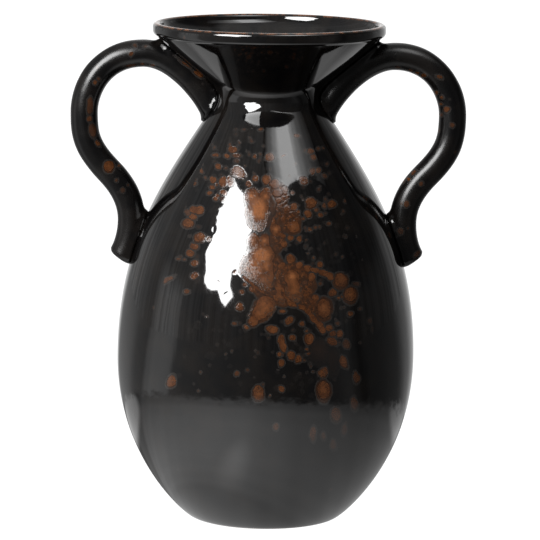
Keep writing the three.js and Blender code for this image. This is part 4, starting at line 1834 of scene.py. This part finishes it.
@dataclass
class PulledHandle:
    """One pulled handle, worked onto neck and shoulder with soft fillets."""

    section: PotSection
    side: Side
    camera: PictureCamera
    field: BlisterField
    radius: float = 14.6 * MM
    span: float = 420 * MM
    root_drop: float = 29.7 * MM
    root_inset: float = 1.2 * MM
    root_angle: float = 82
    root_pull: float = 26.5 * MM
    top_overhang: float = 12 * MM
    top_drop: float = 33.6 * MM
    top_pull_in: float = 36.5 * MM
    top_pull_out: float = 42 * MM
    reach_drop: float = 96.5 * MM
    reach_pull_up: float = 28 * MM
    reach_pull_down: float = 23 * MM
    back_reach: float = 28.5 * MM
    back_rise: float = 56.6 * MM
    back_slope: float = 42
    back_pull_up: float = 30 * MM
    back_pull_down: float = 13 * MM
    waist_rise: float = 41.4 * MM
    waist_stand_off: float = 13.9 * MM
    waist_pull_up: float = 29.5 * MM
    waist_pull_down: float = 17 * MM
    toe_height: float = 277 * MM
    toe_stand_off: float = 10.8 * MM
    toe_kick: float = 35
    toe_pull: float = 12 * MM
    toe_rounding: float = 5.2 * MM
    ring_spacing: float = 1.25 * MM
    bevel_steps: int = 28
    flare: float = 9 * MM
    sink: float = 0.35 * MM
    deepest: float = 3 * MM
    work_step: float = 0.35 * MM
    work_steps: int = 60
    chunk: int = 4000
    wipes: int = 9
    lump_sizes: Pair = (26 * MM, 11 * MM)
    lump_heights: Pair = (0.35, 0.08)
    lump_seeds: tuple[int, int] = (21, 22)
    free_from: float = 6 * MM
    spot_facing: Pair = (0.05, 0.2)
    spot_relief: float = 0.5
    pooled_reach: Pair = (3 * MM, 11 * MM)

    def beside_wall(self, height: float, stand_off: float) -> Array:
        """Finds the place outside the wall at a height."""
        outer = self.section.outside()
        return np.array([float(np.interp(height, outer[:, 1], outer[:, 0])) + stand_off, height])

    def centre_line(self) -> Array:
        """Draws the middle of the handle from its root in the neck to its toe on the body.

        Returns:
            Evenly spaced points of radius and height.
        """
        section = self.section
        root = np.array([section.throat_radius - self.root_inset, section.throat_height - self.root_drop])
        top = np.array([section.mouth_radius + self.top_overhang, section.vase_height - self.top_drop])
        reach = np.array([self.span / 2 - self.radius, section.vase_height - self.reach_drop])
        toe = self.beside_wall(self.toe_height, self.toe_stand_off)
        waist = self.beside_wall(self.toe_height + self.waist_rise, self.waist_stand_off)
        back = waist + (self.back_reach, self.back_rise)
        rootward = from_upright(90 - self.root_angle)
        backward = from_upright(self.back_slope)
        kick = from_upright(180 - self.toe_kick)
        level, upright = np.array([1.0, 0.0]), np.array([0.0, 1.0])
        line = joined(
            bezier(root, self.root_pull * rootward, -self.top_pull_in * level, top, 80),
            bezier(top, self.top_pull_out * level, self.reach_pull_up * upright, reach, 60),
            bezier(reach, -self.reach_pull_down * upright, self.back_pull_up * backward, back, 50),
            bezier(back, -self.back_pull_down * backward, self.waist_pull_up * upright, waist, 50),
            bezier(waist, -self.waist_pull_down * upright, -self.toe_pull * kick, toe, 40),
        )
        return respaced(line, self.ring_spacing)

    def sweep(self, line: Array) -> Piece:
        """Sweeps a round section along the centre line and rounds the edge of the toe.

        Args:
            line: The centre line.

        Returns:
            The plain rod as a mesh.
        """
        ahead = line[-1] - line[-2]
        ahead /= np.linalg.norm(ahead)
        run = run_length(line)
        body = line[run < run[-1] - self.toe_rounding]
        swings = np.radians(np.linspace(0, 90, 7))
        backs = self.toe_rounding * (1 - np.sin(swings))
        shrinks = self.toe_rounding * (1 - np.cos(swings))
        tip = line[-1] - backs[:, None] * ahead
        places = np.vstack([body, tip])
        radii = np.concatenate([np.full(len(body), self.radius), self.radius - shrinks])
        curve = bpy.data.curves.new("handle_path", "CURVE")
        curve.dimensions = "3D"
        spline = curve.splines.new("POLY")
        spline.points.add(len(places) - 1)
        for point, (r, z), radius in zip(spline.points, places, radii):
            point.co = (r, 0, z, 1)
            point.radius = radius / self.radius
        curve.bevel_depth = self.radius
        curve.bevel_resolution = self.bevel_steps
        curve.use_fill_caps = True
        only(linked("handle_path", curve))
        bpy.ops.object.convert(target="MESH")
        rod = bpy.context.object
        opened(rod)
        welded()
        return rod

    def from_pot(self, places: Array) -> tuple[Array, Array]:
        """Measures how far places are from the pot.

        Args:
            places: Points, one a row.

        Returns:
            The distance and the way out of the pot.
        """
        radius = np.hypot(places[:, 0], places[:, 1])
        distance, out = self.section.distance(radius, places[:, 2])
        level = out[:, :1] * places[:, :2] / radius[:, None]
        return distance, np.column_stack([level, out[:, 1]])

    def spokes(self, places: Array, line: Array) -> tuple[Array, Array]:
        """Finds the way from the centre line out to each place.

        Args:
            places: Vertices of the plain rod.
            line: Its centre line.

        Returns:
            Unit vectors, and how far out each place lies.
        """
        middle = np.column_stack([line[:, 0], np.zeros(len(line)), line[:, 1]])
        nearest = np.empty(len(places), int)
        for start in range(0, len(places), self.chunk):
            part = places[start : start + self.chunk]
            gaps = np.sum((part[:, None, :] - middle[None]) ** 2, axis=2)
            nearest[start : start + self.chunk] = np.argmin(gaps, axis=1)
        spoke = places - middle[nearest]
        reach = np.linalg.norm(spoke, axis=1)
        return spoke / np.maximum(reach, 1e-6)[:, None], reach

    def worked_onto_pot(self, places: Array, line: Array) -> Array:
        """Spreads the rod where it nears the pot, as wet clay is worked into the joint.

        Args:
            places: Vertices of the plain rod.
            line: Its centre line.

        Returns:
            The moved vertices.
        """
        spoke, reach = self.spokes(places, line)
        distance, _ = self.from_pot(places)
        near_pot = (distance > -self.sink) & (distance < self.flare)
        working = np.flatnonzero(near_pot & (reach > self.radius * 0.9))
        stretch = np.zeros(len(working))
        before = np.zeros(len(working))
        going = np.ones(len(working), bool)
        for _ in range(self.work_steps):
            gap, _ = self.from_pot(places[working] + spoke[working] * stretch[:, None])
            share = np.clip(1 - np.abs(stretch - gap) / self.flare, 0, 1)
            blended = np.minimum(stretch, gap) - share**2 * self.flare / 4
            passed = going & (blended >= 0) & (before < 0)
            stretch[passed] -= self.work_step * blended[passed] / (blended[passed] - before[passed])
            going &= (blended < 0) & (gap > -self.sink)
            if not going.any():
                break
            before = blended
            stretch[going] += self.work_step
        moved = places.copy()
        moved[working] += spoke[working] * stretch[:, None]
        distance, way = self.from_pot(moved)
        deep = distance < -self.deepest
        moved[deep] += way[deep] * (-self.deepest - distance[deep])[:, None]
        return moved

    def wipe(self, piece: Piece, worked: Array) -> None:
        """Smooths the worked clay of the joints.

        Args:
            piece: The handle.
            worked: Which of its vertices were moved.
        """
        group = piece.vertex_groups.new(name="worked")
        group.add([int(i) for i in np.flatnonzero(worked)], 1.0, "REPLACE")
        wiping = piece.modifiers.new("wiping", "SMOOTH")
        wiping.factor = 0.5
        wiping.iterations = self.wipes
        wiping.vertex_group = group.name
        only(piece)
        bpy.ops.object.modifier_apply(modifier=wiping.name)
        piece.vertex_groups.clear()

    def lumps(self, places: Array) -> Array:
        """Gives the swells of the pulled clay, in millimetres."""
        broad, small = (
            lattice_noise(places, size, seed) * height
            for size, height, seed in zip(self.lump_sizes, self.lump_heights, self.lump_seeds)
        )
        return broad + small

    def build(self, glaze: Material) -> Piece:
        """Builds and dresses the handle.

        Args:
            glaze: Its finish.

        Returns:
            The finished piece.
        """
        line = self.centre_line()
        piece = self.sweep(line)
        plain = vertex_places(piece)
        places = self.worked_onto_pot(plain, line)
        turn = np.array(Matrix.Rotation(self.side.value, 3, "Z"))
        move_vertices(piece, places @ turn.T)
        self.wipe(piece, np.linalg.norm(places - plain, axis=1) > 0.02 * MM)
        shown_smooth(piece)
        places, normals = vertex_places(piece), vertex_normals(piece)
        distance, _ = self.from_pot(places)
        free = smooth_step(0, self.free_from, distance)
        facing = smooth_step(*self.spot_facing, self.camera.facing(places, normals))
        marks = self.field.over(self.camera.pixels(places))
        rise = self.lumps(places) * MM + marks.rise * facing * self.spot_relief
        move_vertices(piece, places + normals * (free * rise)[:, None])
        marks.keep(piece, facing, np.arange(len(places)))
        keep_mark(piece, "pooled", 1 - smooth_step(*self.pooled_reach, distance))
        side = self.side.name.lower()
        nodes = (f"handle_{side}", f"upper_luting_{side}", f"lower_luting_{side}")
        return dressed(piece, f"pulled_handle_{side}", glaze, Slot.HANDLE, *nodes)


# The studio.


@dataclass(frozen=True)
class Softbox:
    """A soft light that the camera doesn't see.

    outline runs round it as shares of half its size, the viewer's left above 0, and across
    is its glow from one side to the other.
    """

    name: str
    place: Triple
    aim: Triple
    wide: float
    tall: float
    radiance: float
    outline: Stops = ((1, -1), (1, 1), (-1, 1), (-1, -1))
    across: Stops = ((-1.0, 1.0), (1.0, 1.0))

    def build(self) -> None:
        """Hangs the light, facing its aim."""
        half_wide, half_tall = self.wide / 2, self.tall / 2
        corners = [(x * half_wide, y * half_tall, 0) for x, y in self.outline]
        mesh = bpy.data.meshes.new(self.name)
        mesh.from_pydata(corners, [], [tuple(range(len(corners)))])
        cloth = linked(self.name, mesh)
        cloth.location = self.place
        cloth.rotation_mode = "QUATERNION"
        way = Vector(self.aim) - Vector(self.place)
        cloth.rotation_quaternion = way.to_track_quat("Z", "Y")
        material, bench, shader = glowing_material(self.name, self.radiance)
        split = bench.add("ShaderNodeSeparateXYZ", {0: bench.here()})
        share = bench.math("DIVIDE", split.outputs[0], half_wide)
        glow = bench.stops(share, -1.0, 1.0, self.across)
        back = bench.add("ShaderNodeNewGeometry").outputs["Backfacing"]
        bench.fill(shader, {"Emission Color": bench.mixed(back, glow, (0, 0, 0, 1))})
        mesh.materials.append(material)
        cloth.visible_camera = False
        cloth.visible_shadow = False


KEY_OUTLINE: Stops = (
    (0.16, -0.945), (0.47, -0.96), (0.77, -0.925), (0.96, -0.83), (1.0, -0.73), (0.96, -0.61), (1.22, -0.3),
    (1.0, -0.05), (0.9, 0.1), (0.92, 0.25), (1.0, 0.42), (0.8, 0.55), (0.75, 0.7), (0.6, 0.92), (0.0, 0.85),
    (-0.35, 0.75), (-0.65, 0.62), (-1.1, 0.4), (-1.15, -0.1), (-1.0, -0.35), (-0.6, -0.5), (-0.6, -0.8),
    (-0.85, -0.95), (-0.45, -1.2), (-0.2, -1.12), (0.07, -0.95),
)

PANEL_GLOW: Stops = (
    (-1.0, 0.0), (-0.87, 0.03), (-0.62, 0.07), (-0.36, 0.16), (-0.12, 0.36), (0.03, 0.62), (0.10, 1.0),
    (0.47, 1.0), (0.65, 0.5), (0.80, 0.22), (1.0, 0.0),
)


@dataclass
class Studio:
    """Pale sweep and soft lights, with the surroundings that the glaze mirrors.

    Angles run clockwise from the camera's side of the pot, in degrees, and each stop
    pairs one with a radiance. Heights of the surroundings are in degrees above level. The
    floor glows with a painted pool of light round its middle, dimmer close round the pot and
    toward its right and back as painted shadow of the pot, with a painted patch of light
    before the pot and a painted glow on each side, all of them seen only in the glaze. The
    camera itself sees only white.
    """

    floor_size: float = 16.0
    camera_white: float = 1.15
    pool: Pair = (-0.04, -0.04)
    pool_size: float = 0.8
    # Painted light of the pool by distance from its middle, dimmer close round the pot as painted contact
    # shadow.
    pool_stops: Stops = (
        (0.0, 0.8), (0.08, 0.95), (0.10, 1.2), (0.13, 1.45), (0.17, 1.6), (0.28, 1.55), (0.38, 1.35),
        (0.47, 1.0), (0.55, 0.75), (0.8, 0.6),
    )
    # Painted shadow of the pot: the pool dims toward the pot's right and back, away from the key softbox.
    pool_shadow_turn: Stops = (
        (-180, 0.12), (-130, 0.08), (-116, 0.17), (-107, 0.2), (-98, 0.4), (-90, 0.54), (-75, 0.73),
        (-63, 0.85), (-52, 0.92), (-36, 1.0), (-17, 0.98), (4, 0.75), (24, 0.57), (49, 0.46), (68, 0.36),
        (87, 0.31), (117, 0.26), (180, 0.12),
    )
    pool_edge: Pair = (0.47, 0.60)
    pool_raggedness: float = 0.3
    pool_noise: Triple = (13, 4, 0.65)
    patch: Pair = (-0.065, -0.19)
    patch_stretch: float = 2.2
    patch_radius: float = 0.045
    patch_glow: float = 0.6
    side_glows: tuple[Triple, ...] = ((-0.36, 0.27, 0.75), (0.38, 0.27, 0.42))
    glow_reach: Pair = (0.13, 0.19)
    near_stops: Stops = (
        (-180, 1.1), (-160, 0.9), (-150, 0.35), (-125, 0.45), (-112, 0.32), (-103, 0.32), (-97, 0.7),
        (-91, 0.92), (-80, 1.0), (-76, 0.95), (-71, 0.4), (-58, 0.34), (-40, 0.27), (-20, 0.20), (3, 0.11),
        (26, 0.075), (50, 0.12), (63, 0.18), (70, 0.10), (77, 0.05), (85, 0.09), (114, 0.12), (135, 0.36),
        (150, 0.6), (165, 0.9), (180, 1.1),
    )
    near_to_high: Pair = (8, 17)
    high_stops: Stops = (
        (-180, 1.0), (-165, 0.55), (-150, 0.25), (-110, 0.36), (-60, 0.33), (-15, 0.28), (0, 0.25),
        (20, 0.12), (60, 0.10), (85, 0.05), (115, 0.05), (140, 0.25), (155, 0.40), (165, 0.60), (180, 1.0),
    )
    high_to_zenith: Pair = (55, 66)
    zenith: float = 0.5
    streak_noise: Triple = (19, 3, 0.7)
    streak_share: Pair = (0.35, 0.65)
    streak_strength: Pair = (0.72, 1.28)
    softboxes: tuple[Softbox, ...] = (
        Softbox(
            "key_softbox",
            place=(-1.10, -1.42, 1.42),
            aim=(-0.04, -0.10, 0.32),
            wide=1.08,
            tall=1.46,
            radiance=28.0,
            outline=KEY_OUTLINE,
        ),
        Softbox(
            "second_softbox",
            place=(1.01, -0.70, 2.45),
            aim=(0.41, 0.18, 0.42),
            wide=2.75,
            tall=1.0,
            radiance=6.5,
            across=PANEL_GLOW,
        ),
    )

    def away(self, bench: NodeBench, split: Node, middle: Pair, stretch: float = 1.0) -> Socket:
        """Measures how far a place of the floor is from a middle.

        Args:
            bench: Where the nodes are added.
            split: Node that puts out the place's coordinates.
            middle: Place that is measured from.
            stretch: How many times longer than wide its rings are, along Y.

        Returns:
            The distance in metres.
        """
        across = bench.math("SUBTRACT", split.outputs[0], middle[0])
        along = bench.math("DIVIDE", bench.math("SUBTRACT", split.outputs[1], middle[1]), stretch)
        squares = bench.math("MULTIPLY_ADD", across, across, bench.product(along, along))
        return bench.math("SQRT", squares)

    def floor(self) -> None:
        """Lays the pale floor, which glows with a painted pool of light and painted shadow of the pot where
        the glaze mirrors it.
        """
        bpy.ops.mesh.primitive_plane_add(size=self.floor_size)
        floor = bpy.context.object
        floor.name = "studio_floor"
        material, bench, shader = glowing_material("pale_sweep", 1.0)
        place = bench.here()
        split = bench.add("ShaderNodeSeparateXYZ", {0: place})
        worn = bench.noise(place, *self.pool_noise)
        away = self.away(bench, split, self.pool)
        drawn_in = bench.math("SUBTRACT", away, self.pool_raggedness / 2)
        edge = bench.math("MULTIPLY_ADD", worn, self.pool_raggedness, drawn_in)
        angle = bench.bearing(split.outputs[0], split.outputs[1])
        # The pool, its patch and its side glows are painted light, and its dimming near and behind the pot
        # is painted shadow, all in the floor's glow.
        pool = bench.stops(away, 0.0, self.pool_size, self.pool_stops)
        pool = bench.product(pool, bench.round_stops(angle, self.pool_shadow_turn))
        patch = self.away(bench, split, self.patch, self.patch_stretch)
        pool = bench.math("ADD", pool, bench.rise(patch, 0.0, self.patch_radius, self.patch_glow, 0.0))
        for x, y, strength in self.side_glows:
            glow = bench.rise(self.away(bench, split, (x, y)), *self.glow_reach, strength, 0.0)
            pool = bench.math("ADD", pool, glow)
        far = bench.round_stops(angle, self.near_stops)
        lit = bench.mixed(bench.rise(edge, *self.pool_edge), pool, far)
        seen = bench.add("ShaderNodeLightPath").outputs["Is Camera Ray"]
        white = (self.camera_white, self.camera_white, self.camera_white, 1)
        bench.fill(shader, {"Emission Color": bench.mixed(seen, lit, white), "Roughness": 1.0})
        floor.data.materials.append(material)

    def surroundings(self) -> None:
        """Makes the world white for the camera, and graded by direction for everything else."""
        world = bpy.data.worlds.new("studio")
        bpy.context.scene.world = world
        world.use_nodes = True
        world.node_tree.nodes.clear()
        bench = NodeBench(world.node_tree)
        way = bench.add("ShaderNodeTexCoord").outputs["Generated"]
        x, y, z = bench.add("ShaderNodeSeparateXYZ", {0: way}).outputs
        angle = bench.bearing(x, y)
        height = bench.math("DEGREES", bench.math("ARCSINE", z))
        level = bench.add("ShaderNodeCombineXYZ", {0: x, 1: y})
        compass = bench.add("ShaderNodeVectorMath", {0: level.outputs[0]}, operation="NORMALIZE")
        noise = bench.noise(compass.outputs[0], *self.streak_noise)
        streaks = bench.rise(noise, *self.streak_share, *self.streak_strength)
        near = bench.round_stops(angle, self.near_stops)
        high = bench.round_stops(angle, self.high_stops)
        around = bench.mixed(bench.rise(height, *self.near_to_high), near, high)
        zenith = (self.zenith, self.zenith, self.zenith, 1)
        around = bench.mixed(bench.rise(height, *self.high_to_zenith), around, zenith)
        mirrored = bench.add("ShaderNodeBackground", {"Color": around, "Strength": streaks})
        white_entries = {"Color": (1, 1, 1, 1), "Strength": self.camera_white}
        white = bench.add("ShaderNodeBackground", white_entries)
        seen = bench.add("ShaderNodeLightPath").outputs["Is Camera Ray"]
        entries = {0: seen, 1: mirrored.outputs[0], 2: white.outputs[0]}
        chosen = bench.add("ShaderNodeMixShader", entries)
        bench.add("ShaderNodeOutputWorld", {"Surface": chosen.outputs[0]})

    def build(self) -> None:
        """Sets up floor, surroundings and lights."""
        self.floor()
        self.surroundings()
        for softbox in self.softboxes:
            softbox.build()
        bpy.context.scene.view_settings.view_transform = "Standard"
        bpy.context.scene.view_settings.look = "None"


def main() -> None:
    """Builds the vase and its studio in order."""
    logging.basicConfig(level=logging.INFO, format="%(name)s: %(message)s")
    nothing_selected()
    camera = PictureCamera()
    camera.build()
    Studio().build()
    specks, skin = specks_group(), glaze_skin_group()
    wall_glaze = StonewareGlaze("black_wall_glaze").build(specks, skin)
    handle_glaze = StonewareGlaze(
        "black_handle_glaze",
        roughness=0.22,
        uneven_roughness=0.08,
        ior=1.36,
        speck_amount=0.25,
    ).build(specks, skin)
    clay = DryClay().build()
    section = PotSection()
    GlazedWall(section).build(wall_glaze)
    BlisterSplash(section, camera, BlisterField(front_splash())).build(wall_glaze)
    BareFoot(section).build(clay)
    for side in Side:
        PulledHandle(section, side, camera, BlisterField(apart(HANDLE_SPOTS))).build(handle_glaze)
    nothing_selected()


if __name__ == "__main__":
    main()
